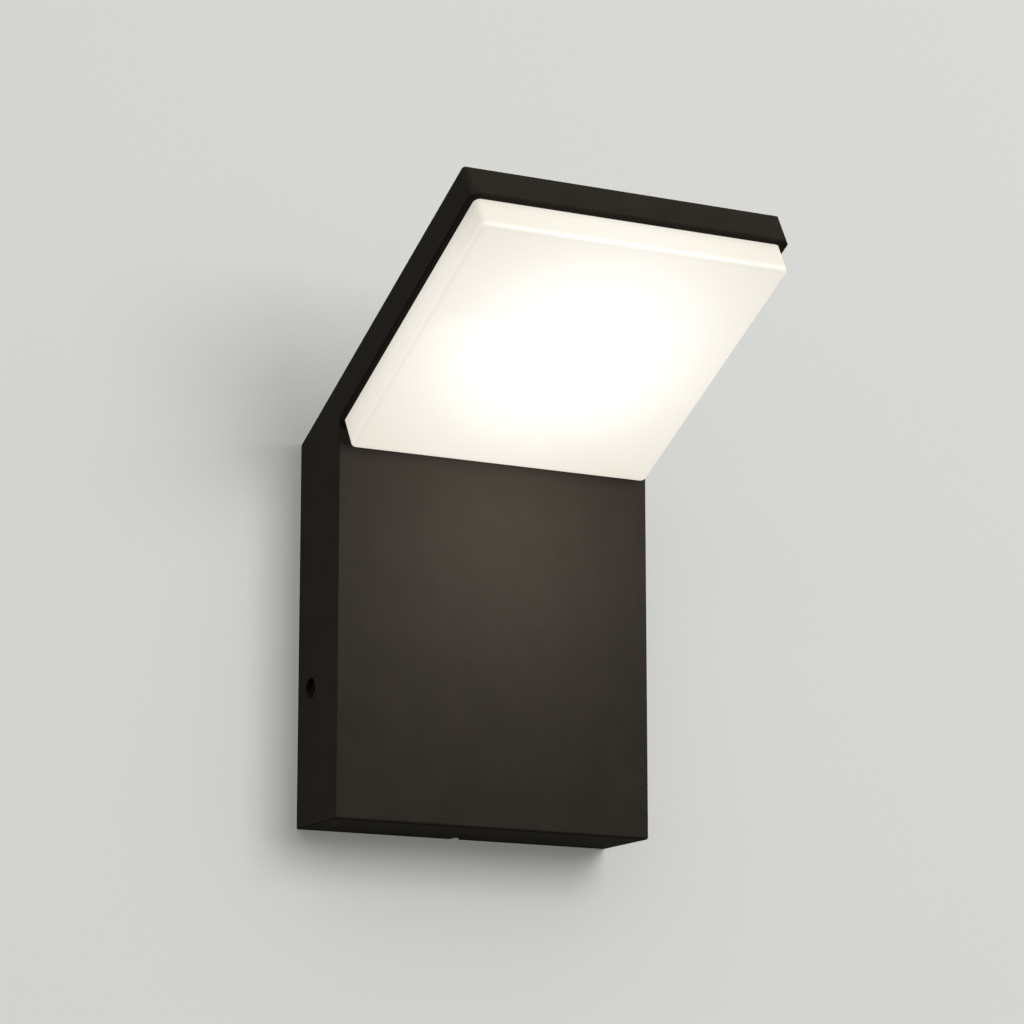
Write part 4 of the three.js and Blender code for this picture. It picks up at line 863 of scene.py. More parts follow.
def pan_head_screw(node, piece, material, x, seat, along, shank, lean=False):
    """Screw along the second axis with its head's seat at `seat`. The shank's radius is the
    thread's, less its depth times the wave above, and a cone ends it. A leaned screw goes into the
    head, whose frame is a mirror image, so its helix is turned round."""
    height = np.linspace(-shank, -0.1, int(shank * RINGS_PER_MM))
    wave = thread(height, THREAD_PITCH, SCREW_SIDES, -1 if lean else 1)
    radius = np.minimum(THREAD - THREAD_DEPTH * wave, CORE + (height[:, None] + shank))
    head = outline([(HEAD_TOP, 0), (HEAD_RADIUS, 0), (HEAD_RADIUS, HEAD_HEIGHT),
                    (HEAD_TOP, HEAD_HEIGHT)], [0, HEAD_EDGE, HEAD_ROUND, 0])[1:]
    profile = [(r, seat + h) for r, h in zip(radius, height)] + [(THREAD, seat)]
    profile += [(r, seat + h) for r, h in head]
    screw = turned(profile, (along, x), Y, sides=SCREW_SIDES)
    quarter = [(-CROSS_HALF, -CROSS_ARM), (CROSS_HALF, -CROSS_ARM), (CROSS_HALF, -CROSS_HALF)]
    plus = []
    for _ in range(4):
        plus += [(x + a, along + b) for a, b in quarter]
        quarter = [(-b, a) for a, b in quarter]
    top = seat + HEAD_HEIGHT
    punch = stack(plus, 0, [(CROSS_TAPER, top - CROSS_DEPTH), (0, top - 0.2), (0, top + PAST)],
                  FACING)
    if lean:
        screw, punch = leaned(screw), leaned(punch)
    dress(combine(solid(piece, screw), "DIFFERENCE", [punch]), [material], node)


for name in ("left", "right"):
    x, _, z = middle_mm(f"driver_screw_{name}")
    pan_head_screw(f"driver_screw_{name}", f"driver_pan_screw_{name}", screw_zinc, x,
                   STUD_TOP + EAR_SEAT, z, 5.4)
    x, _, z = middle_mm(f"terminal_screw_{name}")
    pan_head_screw(f"terminal_screw_{name}", f"terminal_pan_screw_{name}", screw_zinc, x,
                   STUD_TOP + BLOCK_SEAT, z, 16.8)
x, _, z = middle_mm("earth_screw")
pan_head_screw("earth_screw", "earth_pan_screw", nickel, x, STUD_TOP + LUG_SEAT, z, 4.6)
near, far = BOARD_SCREW_ALONG
board_places = [(-1, near), (1, near), (1, far), (-1, far)]  # round the board, as they are fitted
for number, (side, along) in enumerate(board_places, 1):
    pan_head_screw(f"board_screw_{number}", f"board_pan_screw_{number}", screw_zinc,
                   side * BOARD_SCREW_X, BOARD_SEAT, along, 3.9, lean=True)

# %% [markdown]
# ## Side set screws
# The two screws that lock the lamp to its plate are headless, with a hexagon socket at one end
# and a cup point at the other. They are blackened by a hot oxide bath, which leaves a thin, dark,
# oily-looking layer on bare steel, so the metal is dark but still a metal.

# %% Set screws
black_oxide = cloudy("black-oxided steel", 1.2, ("#1e1d1c", "#302f2e"), (0.40, 0.56), Metallic=1.0)

SET_RADIUS, SET_LENGTH, SET_PITCH, SET_THREAD_DEPTH, SET_SIDES = 3.0, 6.0, 1.0, 0.5, 48
CUP_RADIUS, CUP_DEPTH = 1.45, 0.9
SOCKET = 3.0  # across its flats, and deep

SOCKET_CORNER = SOCKET / math.sqrt(3)
socket_turns = np.linspace(0, 2 * np.pi, 6, endpoint=False)
hexagon = np.column_stack([side_screw[0] + SOCKET_CORNER * np.cos(socket_turns),
                           side_screw[1] + SOCKET_CORNER * np.sin(socket_turns)])
for side, name in ((-1, "left"), (1, "right")):
    low, high = box_mm(f"set_screw_{name}")
    point = min(abs(low[0]), abs(high[0]))
    end = point + SET_LENGTH
    height = np.linspace(0.02, SET_LENGTH - 0.02, 73)
    wave = thread(side * (point + height), SET_PITCH, SET_SIDES)
    cone = np.minimum(1.6 + height, SET_RADIUS - 0.6 + SET_LENGTH - height)[:, None]
    radius = np.minimum(SET_RADIUS - SET_THREAD_DEPTH * wave, cone)
    profile = [(0.3, side * (point + CUP_DEPTH)), (CUP_RADIUS - 0.25, side * (point + 0.02)),
               (CUP_RADIUS, side * point)]
    profile += [(r, side * (point + h)) for r, h in zip(radius, height)]
    profile += [(SET_RADIUS - 0.7, side * end)]
    screw = turned(profile, side_screw, X, sides=SET_SIDES)
    punch = [(0, side * (end - SOCKET)), (0, side * (end - 0.15)), (-0.2, side * (end + 0.05)),
             (-0.2, side * (end + PAST))]
    tools = [stack(hexagon, 0, punch, SIDEWAYS),
             turned([(0.2, side * (end - SOCKET - 0.7)), (1.3, side * (end - SOCKET + 0.1))],
                    side_screw, X, sides=24)]
    dress(combine(solid(f"socket_set_screw_{name}", screw), "DIFFERENCE", tools), [black_oxide],
          f"set_screw_{name}")

# %% [markdown]
# ## Mounting plate
# The plate that stays on the wall is stamped from 1.5 mm sheet, and its two tabs are bent up. A
# bend always has a radius, and a small relief beside it keeps the sheet from tearing. So each tab
# is an L-shaped outline with a round bend, carried along the tab, and set into a gap in the sheet.

# %% Mounting plate
SHEET, SHEET_EDGE, PLATE_CORNER = 1.5, 0.2, 4
PLATE_BACK, PLATE_FRONT = -SHEET, -2 * SHEET  # the pad behind it is as thick as the sheet
TAB_HALF, TAB_ROOT, RELIEF, BEND = 9.0, 44.0, 1.0, 1.8
GAP_START, GAP_END = 45.5, 52.0  # across, of the gap that a tab stands in
CABLE_HOLE, CABLE_HOLE_Z = 8.0, 18.0
SLOT_X, SLOT_HALF, SLOT = 30.0, 7.0, 2.5
REACH = 5  # each way from the wall plane, of what is cut through plate and pad

low, high = box_mm("mounting_plate")
PLATE_HALF, TAB_TIP = high[0], low[1]
plate_corners = rectangle((-PLATE_HALF, low[2]), (PLATE_HALF, high[2]))


def slots(play, y_from, y_to):
    """Cutters for the two wall-screw slots, each a rectangle whose ends are half circles."""
    half, end = SLOT + play, SLOT_HALF + play
    return [stack(rectangle((x - end, -half), (x + end, half)), half - HAIR,
                  [(0, y_from), (0, y_to)], FACING, steps=10) for x in (-SLOT_X, SLOT_X)]


plate = solid("stamped_wall_plate", stack(plate_corners, PLATE_CORNER, rims(
    PLATE_FRONT, PLATE_BACK, SHEET_EDGE, 3), FACING, steps=8))
gaps = [block((low_x, -REACH, -TAB_HALF - RELIEF), (high_x, 0, TAB_HALF + RELIEF))
        for low_x, high_x in ((-GAP_END, -GAP_START), (GAP_START, GAP_END))]
hole = bar(CABLE_HOLE, -REACH, 0, (CABLE_HOLE_Z, 0), Y, sides=64)
combine(plate, "DIFFERENCE", [*gaps, hole, *slots(0, -REACH, 0)])
tabs = []
for side in (-1, 1):
    root, inner, outer = side * TAB_ROOT, side * (PLATE_HALF - SHEET), side * PLATE_HALF
    tab_view = [(root, PLATE_BACK), (root, PLATE_FRONT), (inner, PLATE_FRONT), (inner, TAB_TIP),
                (outer, TAB_TIP), (outer, PLATE_BACK)]
    radii = [0, 0, BEND - SHEET, SHEET_EDGE, SHEET_EDGE, BEND]
    tabs.append(stack(tab_view[::side], radii[::side], rims(-TAB_HALF, TAB_HALF, SHEET_EDGE, 3)))
combine(plate, "UNION", tabs)
dress(plate, [rolled_zinc], "mounting_plate")

# %% [markdown]
# ## Pad and grommet
# A foam pad behind the plate seals it to an uneven wall. It is cut from a sheet of closed-cell
# rubber, so its cut faces show cells. The grommet and the small bush in the head are moulded from
# solid rubber, which has no cells but a dull skin with a grey bloom. All three stay soft to the
# eye because their edges are round and nothing on them shines.

# %% Rubber materials
CELL = 0.7  # coarser than the real 0.3 so that it shows

foam, tree, place = start("closed-cell EPDM foam")
cells = add(tree, "TexVoronoi", {"Vector": place, "Scale": 1 / (CELL * MM)}, feature="SMOOTH_F1")
patches = add(tree, "TexNoise", {"Vector": place, "Scale": 1 / (8 * MM), "Detail": 2.0})
tone = add(tree, "Mix", {0: patches, 6: linear("#161617"), 7: linear("#242426")}, **MIX)
relief = add(tree, "Bump", {"Height": cells, "Distance": 0.2 * MM, "Strength": 0.8})
add(tree, "OutputMaterial", {"Surface": add(tree, "BsdfPrincipled", {
    "Base Color": tone, "Roughness": 0.92, "IOR": 1.5, "Normal": relief})})

rubber = cloudy("moulded EPDM rubber", 3, ("#171718", "#2b2b2c"), (0.55, 0.75), IOR=1.52)

# %% Pad, grommet and bush
PAD_HOLE, PAD_PLAY = 10.3, 0.5
pad = solid("foam_pad", stack(plate_corners, PLATE_CORNER, rim(0.25, PLATE_BACK, -1, 3)[::-1]
                              + rim(0.1, 0, 1, 2), FACING, steps=8))
hole = bar(PAD_HOLE, -REACH, REACH, (CABLE_HOLE_Z, 0), Y, sides=64)
dress(combine(pad, "DIFFERENCE", [hole, *slots(PAD_PLAY, -REACH, REACH)]), [foam], "wall_pad")

low, high = box_mm("cable_grommet")
front, back, flange, bore, neck = low[1], high[1], high[0], 4.5, CABLE_HOLE - EASE
section = outline([(bore, front), (flange, front), (flange, PLATE_FRONT), (neck, PLATE_FRONT),
                   (neck, PLATE_BACK), (flange, PLATE_BACK), (flange, back), (bore, back)],
                  [0.6, 0.6, 0.3, 0.2, 0.2, 0.3, 0.4, 0.4], steps=5)
grommet = solid("supply_grommet", turned(section.tolist(), (CABLE_HOLE_Z, 0), Y, ring=True))
dress(grommet, [rubber], "cable_grommet")

BUSH_BORE, BUSH_NECK, BUSH_FLANGE, BUSH_FLANGE_LENGTH = 1.7, 2.2, 3.3, 1.2
seat, end = WEB_START - EASE, POCKET_START - EASE
section = outline([(BUSH_BORE, seat - BUSH_FLANGE_LENGTH),
                   (BUSH_FLANGE, seat - BUSH_FLANGE_LENGTH), (BUSH_FLANGE, seat),
                   (BUSH_NECK, seat), (BUSH_NECK, end), (BUSH_BORE, end)],
                  [0.25, 0.4, 0.2, 0.15, 0.2, 0.15], steps=4)
bush = solid("lead_bush", leaned(turned(section.tolist(), (0, PASSAGE_LEVEL), Z, ring=True)))
dress(bush, [rubber], "passage_bush")

# %% [markdown]
# ## Driver
# The driver is a closed box of moulded polycarbonate that turns mains voltage into the LEDs' own.
# A moulding has no sharp edge anywhere, its mould face is spark-eroded to a fine matt grain, and
# it has a hole for each lead. The case is an outline with rounded corners and a rounded floor rim;
# the lid is a stack of the same outline, with a plug behind it and a sunk field on its face.

# %% Driver plastic
driver_plastic, tree, place = start("spark-eroded moulded polycarbonate")
grain = add(tree, "TexNoise", {"Vector": place, "Scale": 1 / (0.3 * MM), "Detail": 2.0})
flow = add(tree, "TexNoise", {"Vector": place, "Scale": 1 / (20 * MM)})
tone = add(tree, "Mix", {0: flow, 6: linear("#dddcd7"), 7: linear("#e7e6e2")}, **MIX)
relief = add(tree, "Bump", {"Height": grain, "Distance": 0.03 * MM, "Strength": 0.4})
add(tree, "OutputMaterial", {"Surface": add(tree, "BsdfPrincipled", {
    "Base Color": tone, "Roughness": 0.5, "IOR": 1.58, "Normal": relief})})

# %% Driver case and lid
CASE_WALL, CASE_CORNER, CASE_EDGE = 1.6, 2.0, 0.8
EAR_HALF, EAR_CORNER, EAR_SCREW_X = 5.0, 2.5, 42.0
RIB_HALF, RIB_HEIGHT = 0.8, 1.5  # the circuit board stands on the ribs
POLE_X = (-11.0, 0.0, 11.0)  # live, neutral and earth
WIRE_Y = STUD_TOP + 6.5  # the mains leads' own plane
MAINS_HOLE, LED_HOLE = 1.35, 0.7
LEAD_X = 0.75  # of the two leads to the light board

low, high = box_mm("driver_case")
case_back, ear = high[1], high[0]
low, high = box_mm("driver_lid")
case_half, lid_back, lid_front = high[0], high[1], low[1]
case_low, case_high = low[2], high[2]
case_z = (case_low + case_high) / 2
lead_y = (STUD_TOP + case_back) / 2
floor_y = STUD_TOP + CASE_WALL

case_corners = rectangle((-case_half, case_low), (case_half, case_high))
case = solid("driver_housing", stack(case_corners, CASE_CORNER, [
    *rim(CASE_EDGE, STUD_TOP, -1)[::-1], (0, case_back)], FACING))
ears = block((-ear, STUD_TOP, case_z - EAR_HALF), (ear, floor_y, case_z + EAR_HALF),
             EAR_CORNER, axes=FACING)
combine(case, "UNION", [ears])
room = stack(rectangle((CASE_WALL - case_half, case_low + CASE_WALL),
                       (case_half - CASE_WALL, case_high - CASE_WALL)), 1.0,
             [*rim(0.5, floor_y, -1)[::-1], (0, case_back + BEYOND)], FACING)
holes = [bar(SCREW_HOLE, STUD_TOP - BEYOND, STUD_TOP + REACH, (case_z, side * EAR_SCREW_X), Y, 32)
         for side in (-1, 1)]
holes += [bar(MAINS_HOLE, case_low - PAST, case_low + BEYOND, (x, WIRE_Y), Z)
          for x in POLE_X[:2]]
holes += [bar(LED_HOLE, case_high - BEYOND, case_high + PAST, (x, lead_y), Z)
          for x in (-LEAD_X, LEAD_X)]
combine(case, "DIFFERENCE", [room, *holes])
ribs = [block((x - RIB_HALF, STUD_TOP + PAST, case_low + PAST),
              (x + RIB_HALF, floor_y + RIB_HEIGHT, case_high - PAST), 0.2, 0.2, FACING)
        for x in (-case_half / 2, case_half / 2)]
dress(combine(case, "UNION", ribs), [driver_plastic], "driver_case")

LID_EDGE, FIELD_INSET = 0.5, 2.2  # the field on its face is sunk by EASE
plug = CASE_WALL + EASE
lid = solid("driver_lid_moulding", stack(case_corners, CASE_CORNER, [
    (plug + EASE, lid_front), (plug, lid_front + EASE), (plug, case_back), (0, case_back),
    *rim(LID_EDGE, lid_back, 1), (FIELD_INSET, lid_back), (FIELD_INSET + EASE, lid_back - EASE)],
    FACING))
dress(lid, [driver_plastic], "driver_lid")

# %% [markdown]
# ## Inside the driver
# The circuit board's CAD shape is right and stays. A glass-cloth board with green solder mask
# shows lighter copper runs through the mask. On it stand a transformer, which is a sintered
# ferrite core round a coil under yellow polyester tape, and a capacitor, a grooved aluminium can
# in a shrunk sleeve that leaves its scored top bare.

# %% Circuit board
COPPER_CELL, GLASS_WEAVE = 4.8, 3  # between the middles of copper fields, and of bundles
green_board, tree, place = start("green solder mask on glass-epoxy laminate")
runs = add(tree, "TexVoronoi", {"Vector": place, "Scale": 1 / (COPPER_CELL * MM)},
           distance="MANHATTAN", feature="F1")
run_edge = add(tree, "MapRange", {"Value": runs, "From Min": 0.42, "From Max": 0.46})
weave = add(tree, "TexWave", {"Vector": place, "Scale": 1 / (GLASS_WEAVE * MM)},
            bands_direction="X")
tone = add(tree, "Mix", {0: run_edge, 6: linear("#2f6340"), 7: linear("#22492f")}, **MIX)
relief = add(tree, "Bump", {"Height": run_edge, "Distance": 0.035 * MM, "Strength": 0.6})
rough = add(tree, "MapRange", {"Value": weave, "To Min": 0.34, "To Max": 0.42})
add(tree, "OutputMaterial", {"Surface": add(tree, "BsdfPrincipled", {
    "Base Color": tone, "Roughness": rough, "Normal": relief})})
frame["nodes"]["driver_board"].material_slots[0].material = green_board

# %% Transformer
ferrite, tree, place = start("sintered ferrite")
grit = add(tree, "TexNoise", {"Vector": place, "Scale": 1 / (0.25 * MM), "Detail": 3.0})
tone = add(tree, "Mix", {0: grit, 6: linear("#2b2a2b"), 7: linear("#3c3b3c")}, **MIX)
relief = add(tree, "Bump", {"Height": grit, "Distance": 0.03 * MM, "Strength": 0.5})
add(tree, "OutputMaterial", {"Surface": add(tree, "BsdfPrincipled", {
    "Base Color": tone, "Roughness": 0.6, "Normal": relief})})

TAPE_LAP = 1.5  # from one lap's edge to the next, as it is wound over itself
tape, tree, place = start("polyester winding tape")
laps = add(tree, "TexWave", {"Vector": place, "Scale": 1 / (TAPE_LAP * MM) / 2},
           wave_type="BANDS", bands_direction="Z", wave_profile="SAW")
tone = add(tree, "Mix", {0: laps, 6: linear("#d0a92c"), 7: linear("#dcb945")}, **MIX)
relief = add(tree, "Bump", {"Height": laps, "Distance": 0.05 * MM, "Strength": 0.6})
add(tree, "OutputMaterial", {"Surface": add(tree, "BsdfPrincipled", {
    "Base Color": tone, "Roughness": 0.3, "IOR": 1.64, "Normal": relief})})

CORE_HALF, COIL_INSET = 3.2, 2.6
COIL_FOOT, COIL_TOP, COIL_ROUND = 0.9, 0.6, (2.2, 0.9)
low, high = box_mm("driver_transformer")
middle_z = (low[2] + high[2]) / 2
core = block((low[0], low[1], middle_z - CORE_HALF), (high[0], high[1], middle_z + CORE_HALF),
             0.5, 0.5, FACING)
coil = block((low[0] + COIL_INSET, low[1] + COIL_FOOT, low[2]),
             (high[0] - COIL_INSET, high[1] - COIL_TOP, high[2]), *COIL_ROUND, steps=6)
dress(solid("driver_transformer_wound", core, coil), [ferrite, tape], "driver_transformer")

# %% Capacitor
sleeve = cloudy("shrunk polyester sleeve", 4, ("#1d2026", "#292d35"), 0.32, detail=2.0, IOR=1.57)
bare_aluminium = cloudy("drawn aluminium", 0.8, ("#c4c5c7", "#d6d7d8"), 0.35, detail=2.0,
                        Metallic=1.0)

GROOVE_FROM_FOOT, GROOVE_HALF, GROOVE_DEPTH = 2.1, 0.5, 0.45
low, high = box_mm("driver_capacitor")
can, foot, top = (high[0] - low[0]) / 2, low[1], high[1]
middle_zx = ((low[2] + high[2]) / 2, (low[0] + high[0]) / 2)
bead = foot + GROOVE_FROM_FOOT
groove = [(can, bead - GROOVE_HALF), (can - 0.15, bead - 0.35), (can - GROOVE_DEPTH, bead),
          (can - 0.15, bead + 0.35), (can, bead + GROOVE_HALF)]
sleeved = turned([(can - 0.5, foot), (can - 0.1, foot + 0.15), (can, foot + 0.5), *groove,
                  (can, top - 0.6), (can - 0.1, top - 0.2), (can - 0.35, top - 0.02),
                  (can - 0.9, top - 0.02), (can - 1.0, top - 0.3)], middle_zx, Y)
scored_top = turned([(can - 0.8, top - 0.8), (can - 0.85, top - 0.12), (can - 1.1, top - 0.12),
                     (1.2, top - 0.12)], middle_zx, Y)
dress(solid("driver_capacitor_can", sleeved, scored_top), [sleeve, bare_aluminium],
      "driver_capacitor")

# %% [markdown]
# ## Terminal block
# The mains terminals are moulded from nylon, which is slightly translucent, a little waxy and
# never quite white. Grooves part its three poles, each wire hole has a funnel to guide the
# strands, and the clamp screws sit flush in their wells.

# %% Nylon parts
nylon = cloudy("moulded natural nylon", 7, ("#d9dbd4", "#e6e7e1"), (0.38, 0.5), detail=2.0,
               IOR=1.53, **{"Subsurface Weight": 0.2, "Subsurface Scale": 1.0 * MM})

GROOVE, GROOVE_X = 0.9, 5.5
BLOCK_CORNER, GROOVE_ROUND, BLOCK_RIMS = 0.8, 0.25, (0.4, 0.6)
WIRE_HOLE, FUNNEL, CLAMP_WELL, CLAMP_MOUTH = 2.2, 3.1, 2.1, 2.6

low, high = box_mm("terminal_block")
half, foot, crown = high[0], low[2], high[2]
block_z = (foot + crown) / 2
notches = [(x + d, h) for x in (-GROOVE_X, GROOVE_X)
           for d, h in ((-GROOVE, 0), (0, GROOVE), (GROOVE, 0))]
block_view = [(-half, foot), *((x, foot + h) for x, h in notches), (half, foot),
              (half, crown), *((x, crown - h) for x, h in notches[::-1]), (-half, crown)]
radii = 2 * [BLOCK_CORNER, *[GROOVE_ROUND] * len(notches), BLOCK_CORNER]
terminal = solid("terminal_block_moulding", stack(
    block_view, radii, rims(low[1], high[1], BLOCK_RIMS), FACING, steps=4))
tools = [turned([(FUNNEL, foot - PAST), (WIRE_HOLE, foot + 0.8), (WIRE_HOLE, crown - 0.8),
                 (FUNNEL, crown + PAST)], (x, WIRE_Y), Z, sides=32) for x in POLE_X]
tools += [turned([(CLAMP_WELL, WIRE_Y), (CLAMP_WELL, high[1] - 0.4), (CLAMP_MOUTH, high[1] + 0.1),
                  (CLAMP_MOUTH, high[1] + PAST)], (block_z, x), Y, sides=32) for x in POLE_X]
tools += [bar(SCREW_HOLE, low[1] - PAST, high[1] + PAST, (block_z, x), Y)
          for x in (-GROOVE_X, GROOVE_X)]
dress(combine(terminal, "DIFFERENCE", tools), [nylon], "terminal_block")

# The board's connector takes the leads' bare ends at its side and lets them go by two keys on top.
CONNECTOR_START, CONNECTOR_LENGTH, CONNECTOR_HALF = POCKET_START + 3.0, 6, 3.5
CONNECTOR_BACK, CONNECTOR_FRONT = 5.7, 8.2
LEAD_LEVEL = (CONNECTOR_BACK + CONNECTOR_FRONT) / 2
KEY_X, KEY_HALF, KEY_DEPTH, KEY_START, KEY_LENGTH = 1.9, 0.7, 0.6, 2.4, 2
connector = solid("board_connector_moulding", leaned(block(
    (-CONNECTOR_HALF, CONNECTOR_BACK, CONNECTOR_START),
    (CONNECTOR_HALF, CONNECTOR_FRONT, CONNECTOR_START + CONNECTOR_LENGTH), axes=FACING)))
tools = [leaned(bar(0.72, CONNECTOR_START - PAST, CONNECTOR_START + 2, (x, LEAD_LEVEL), Z))
         for x in (-LEAD_X, LEAD_X)]
key = CONNECTOR_START + KEY_START
tools += [leaned(block((x - KEY_HALF, CONNECTOR_FRONT - KEY_DEPTH, key),
                       (x + KEY_HALF, CONNECTOR_FRONT + PAST, key + KEY_LENGTH), 0.2, 0.1, FACING))
          for x in (-KEY_X, KEY_X)]
dress(combine(connector, "DIFFERENCE", tools), [nylon], "board_connector")

# %% Clamp screws and earth lug
CLAMP, CLAMP_LENGTH, CLAMP_PITCH, CLAMP_DEPTH, CLAMP_SIDES = 1.8, 5.1, 0.7, 0.28, 32
DRIVE_DEPTH, DRIVE_HALF = 0.95, 0.36  # the slot for the screwdriver
for name, x in zip(("live", "neutral", "earth"), POLE_X):
    back = box_mm(f"clamp_screw_{name}")[1][1]
    height = np.linspace(-CLAMP_LENGTH, -EASE, 48)
    radius = np.minimum(CLAMP - CLAMP_DEPTH * thread(height, CLAMP_PITCH, CLAMP_SIDES),
                        1.1 + height[:, None] + CLAMP_LENGTH)
    profile = [(r, back + h) for r, h in zip(radius, height)]
    profile += [(CLAMP - 0.1, back - 0.1), (CLAMP - EASE, back)]
    screw = turned(profile, (block_z, x), Y, sides=CLAMP_SIDES)
    slot = block((x - BEYOND, back - DRIVE_DEPTH, block_z - DRIVE_HALF),
                 (x + BEYOND, back + PAST, block_z + DRIVE_HALF), 0.05, 0.05)
    dress(combine(solid(f"clamp_grub_screw_{name}", screw), "DIFFERENCE", [slot]), [nickel],
          f"clamp_screw_{name}")

LUG_EDGE, TAIL_HALF, TAIL_CORNER = 0.12, 1.9, 0.5
BARREL_BORE, BARREL, BARREL_LENGTH = 1.12, 1.75, 3
MAINS = 1.1  # radius of a mains lead
low, high = box_mm("earth_lug")
lug_x, ring, lug_top = (low[0] + high[0]) / 2, (high[0] - low[0]) / 2, high[2]
lug_rims = rims(low[1], high[1], LUG_EDGE, 2)
lug = solid("earth_ring_lug", turned([(ring - d, y) for d, y in lug_rims], (block_z, lug_x), Y))
tail = stack(rectangle((lug_x - TAIL_HALF, block_z), (lug_x + TAIL_HALF, lug_top)), TAIL_CORNER,
             lug_rims, FACING)
hole = bar(SCREW_HOLE, low[1] - PAST, high[1] + PAST, (block_z, lug_x), Y, 32)
combine(combine(lug, "UNION", [tail]), "DIFFERENCE", [hole])
earth_level = high[1] + EASE + MAINS
barrel_end = lug_top - 0.2
section = outline(rectangle((BARREL_BORE, barrel_end - BARREL_LENGTH), (BARREL, barrel_end)),
                  0.15, steps=3)
barrel = turned(section.tolist(), (lug_x, earth_level), Z, ring=True, sides=CLAMP_SIDES)
dress(combine(lug, "UNION", [barrel]), [nickel], "earth_lug")

# %% [markdown]
# ## Leads
# Each lead is stranded copper in soft PVC. Between its ends it can only bend smoothly, so its path
# is one smooth curve through a few points, and the lead is a circle carried along it. The tube's
# own UV map gives the length along it and the turn round it, and the earth lead's two colours
# follow that turn, as they do on a real one.

# %% Lead shapes
GAP = 0.5  # between one circle of a lead and the next
LEAD_SIDES = 20


def smooth_path(points):
    """Centripetal Catmull-Rom curve: cubic pieces through all the points, where a knot is the
    square root of a chord after the one before it and each slope weighs its two chords. It is
    then sampled again at equal distances of about GAP."""
    p = np.asarray(points, float)
    h = np.linalg.norm(np.diff(p, axis=0), axis=1) ** 0.5
    chord = np.diff(p, axis=0) / h[:, None]
    knot = np.concatenate([[0], np.cumsum(h)])
    inner = chord[:-1] + chord[1:] - (p[2:] - p[:-2]) / (knot[2:] - knot[:-2])[:, None]
    slope = np.vstack([chord[:1], inner, chord[-1:]])
    t = np.linspace(0, knot[-1], 600)
    i = np.clip(np.searchsorted(knot, t, "right") - 1, 0, len(h) - 1)
    s, w = ((t - knot[i]) / h[i])[:, None], h[i][:, None]
    curve = ((2 * s**3 - 3 * s**2 + 1) * p[i] + (s**3 - 2 * s**2 + s) * w * slope[i]
             + (3 * s**2 - 2 * s**3) * p[i + 1] + (s**3 - s**2) * w * slope[i + 1])
    run = np.concatenate([[0], np.cumsum(np.linalg.norm(np.diff(curve, axis=0), axis=1))])
    even = np.linspace(0, run[-1], max(3, round(run[-1] / GAP)))
    return np.column_stack([np.interp(even, run, axis) for axis in curve.T]), run[-1]


def lead(node, points, radius, keep_off, material):
    """Circle carried along a smooth path. The first radius of each circle is `keep_off` with its
    part along the path taken out, and the second is square to both. U runs along it in
    millimetres and V once round it."""
    path, length = smooth_path(points)
    along = np.gradient(path, axis=0)
    along /= np.linalg.norm(along, axis=1, keepdims=True)
    first = keep_off - (along @ keep_off)[:, None] * along
    first /= np.linalg.norm(first, axis=1, keepdims=True)
    second = np.cross(along, first)
    angle = np.linspace(0, 2 * np.pi, LEAD_SIDES, endpoint=False)[None, :, None]
    circle = np.cos(angle) * first[:, None] + np.sin(angle) * second[:, None]
    obj = solid("pvc_" + node, loft(path[:, None] + radius * circle))
    mesh = obj.data
    vertex = np.empty(len(mesh.loops), np.int32)
    mesh.loops.foreach_get("vertex_index", vertex)
    total = np.empty(len(mesh.polygons), np.int32)
    mesh.polygons.foreach_get("loop_total", total)
    face = np.repeat(np.arange(len(total)), total)
    turn = (vertex % LEAD_SIDES).astype(float)
    turn[(face % LEAD_SIDES == LEAD_SIDES - 1) & (turn == 0) & (total[face] == 4)] = LEAD_SIDES
    uv = np.column_stack([vertex // LEAD_SIDES * length / (len(path) - 1), turn / LEAD_SIDES])
    layer = mesh.uv_layers.new(name="along and round")
    layer.data.foreach_set("uv", uv.astype(np.float32).ravel())
    print(f"{node}: {length:.1f} mm long, {2 * radius} mm thick")
    dress(obj, [material], node)


print("10 mm of lead has", len(smooth_path([(0, 0, 0), (0, 0, 5), (0, 0, 10)])[0]), "circles")


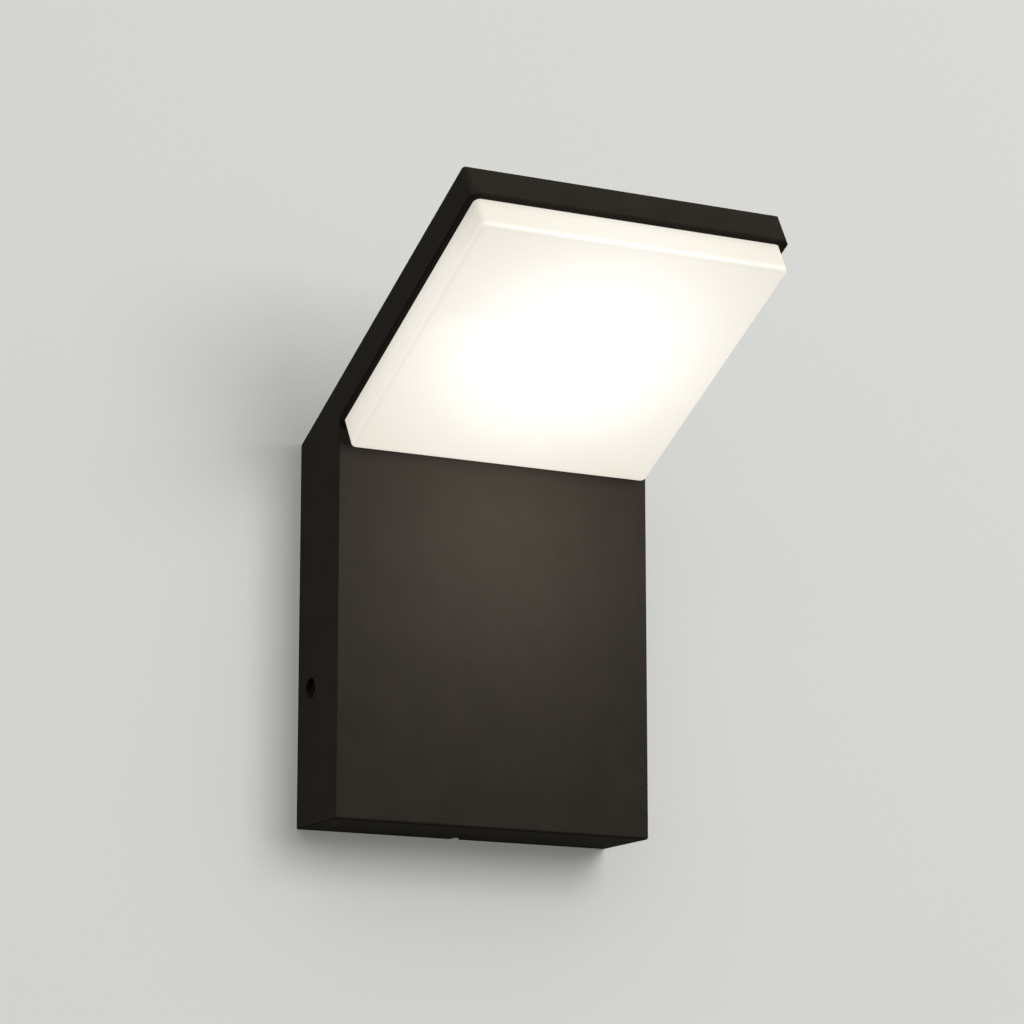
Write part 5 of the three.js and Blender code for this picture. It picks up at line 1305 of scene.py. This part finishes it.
# %% PVC materials
def soft_pvc(node, first, second):
    """Extruded PVC: an even colour, a soft gloss and a faint waviness of the strands below. Where
    the two colours differ, the second covers three tenths of the way round, as on earth leads."""
    material, tree, _ = start("soft PVC of the " + node)
    uv = add(tree, "TexCoord").outputs["UV"]
    turn = add(tree, "SeparateXYZ", {0: uv}).outputs["Y"]
    stripe = add(tree, "Math", {0: turn, 1: 0.3}, operation="LESS_THAN")
    tone = add(tree, "Mix", {0: stripe, 6: linear(first), 7: linear(second)}, **MIX)
    strands = add(tree, "Mapping", {"Vector": uv, "Scale": (0.35, 2.0, 1.0)})
    wave = add(tree, "TexNoise", {"Vector": strands, "Scale": 1.0, "Detail": 1.0})
    rough = add(tree, "MapRange", {"Value": wave, "From Min": 0.3, "From Max": 0.7,
                                   "To Min": 0.32, "To Max": 0.44})
    relief = add(tree, "Bump", {"Height": wave, "Distance": 0.05 * MM, "Strength": 0.5})
    add(tree, "OutputMaterial", {"Surface": add(tree, "BsdfPrincipled", {
        "Base Color": tone, "Roughness": rough, "IOR": 1.53, "Normal": relief})})
    return material


# %% Leads
LED_LEAD = 0.65  # radius of a lead to the light board
AWAY_X, AWAY_Y = np.array([1.0, 0, 0]), np.array([0, 1.0, 0])
INSIDE_CASE, STRAIGHT = 2.5, 2 * MAINS  # a lead starts in the case, and runs straight into a hole
wire_end = crown - 12
case_exit, block_entry = case_low - EASE, crown + STRAIGHT
for node, x, code in (("live_lead", POLE_X[0], "#6a3d22"), ("neutral_lead", POLE_X[1], "#2c5d9f")):
    bow = x + np.sign(x) * STRAIGHT
    points = [(x, WIRE_Y, case_low + INSIDE_CASE), (x, WIRE_Y, case_exit),
              (bow, WIRE_Y, (case_exit + block_entry) / 2), (x, WIRE_Y, block_entry),
              (x, WIRE_Y, crown), (x, WIRE_Y, wire_end)]
    lead(node, points, MAINS, AWAY_Y, soft_pvc(node, code, code))

x, crest = POLE_X[2], crown + 9
points = [(x, WIRE_Y, wire_end), (x, WIRE_Y, crown), (x, WIRE_Y, block_entry),
          ((x + lug_x) / 2, (WIRE_Y + earth_level) / 2, crest),
          (lug_x, earth_level, lug_top + STRAIGHT), (lug_x, earth_level, lug_top - 3.0)]
lead("earth_lead", points, MAINS, AWAY_Y, soft_pvc("earth lead", "#2f7d3c", "#e2c83a"))

rise = (KINK - case_high) / 2
stations = [(PASSAGE_LEVEL, WEB_START - WALL * 3), (PASSAGE_LEVEL, WEB_START - WALL),
            (PASSAGE_LEVEL, (WEB_START + POCKET_START) / 2), (PASSAGE_LEVEL, POCKET_START),
            (LEAD_LEVEL, CONNECTOR_START - EASE), (LEAD_LEVEL, CONNECTOR_START + 1.5)]
for node, x, code in (("board_lead_positive", -LEAD_X, "#a82c26"),
                      ("board_lead_negative", LEAD_X, "#1d1d1f")):
    points = [(x, lead_y, case_high - INSIDE_CASE), (x, lead_y, case_high + EASE),
              (x, lead_y, case_high + rise)] + [(x, *head_corner(*at)) for at in stations]
    lead(node, points, LED_LEAD, AWAY_X, soft_pvc(node, code, code))
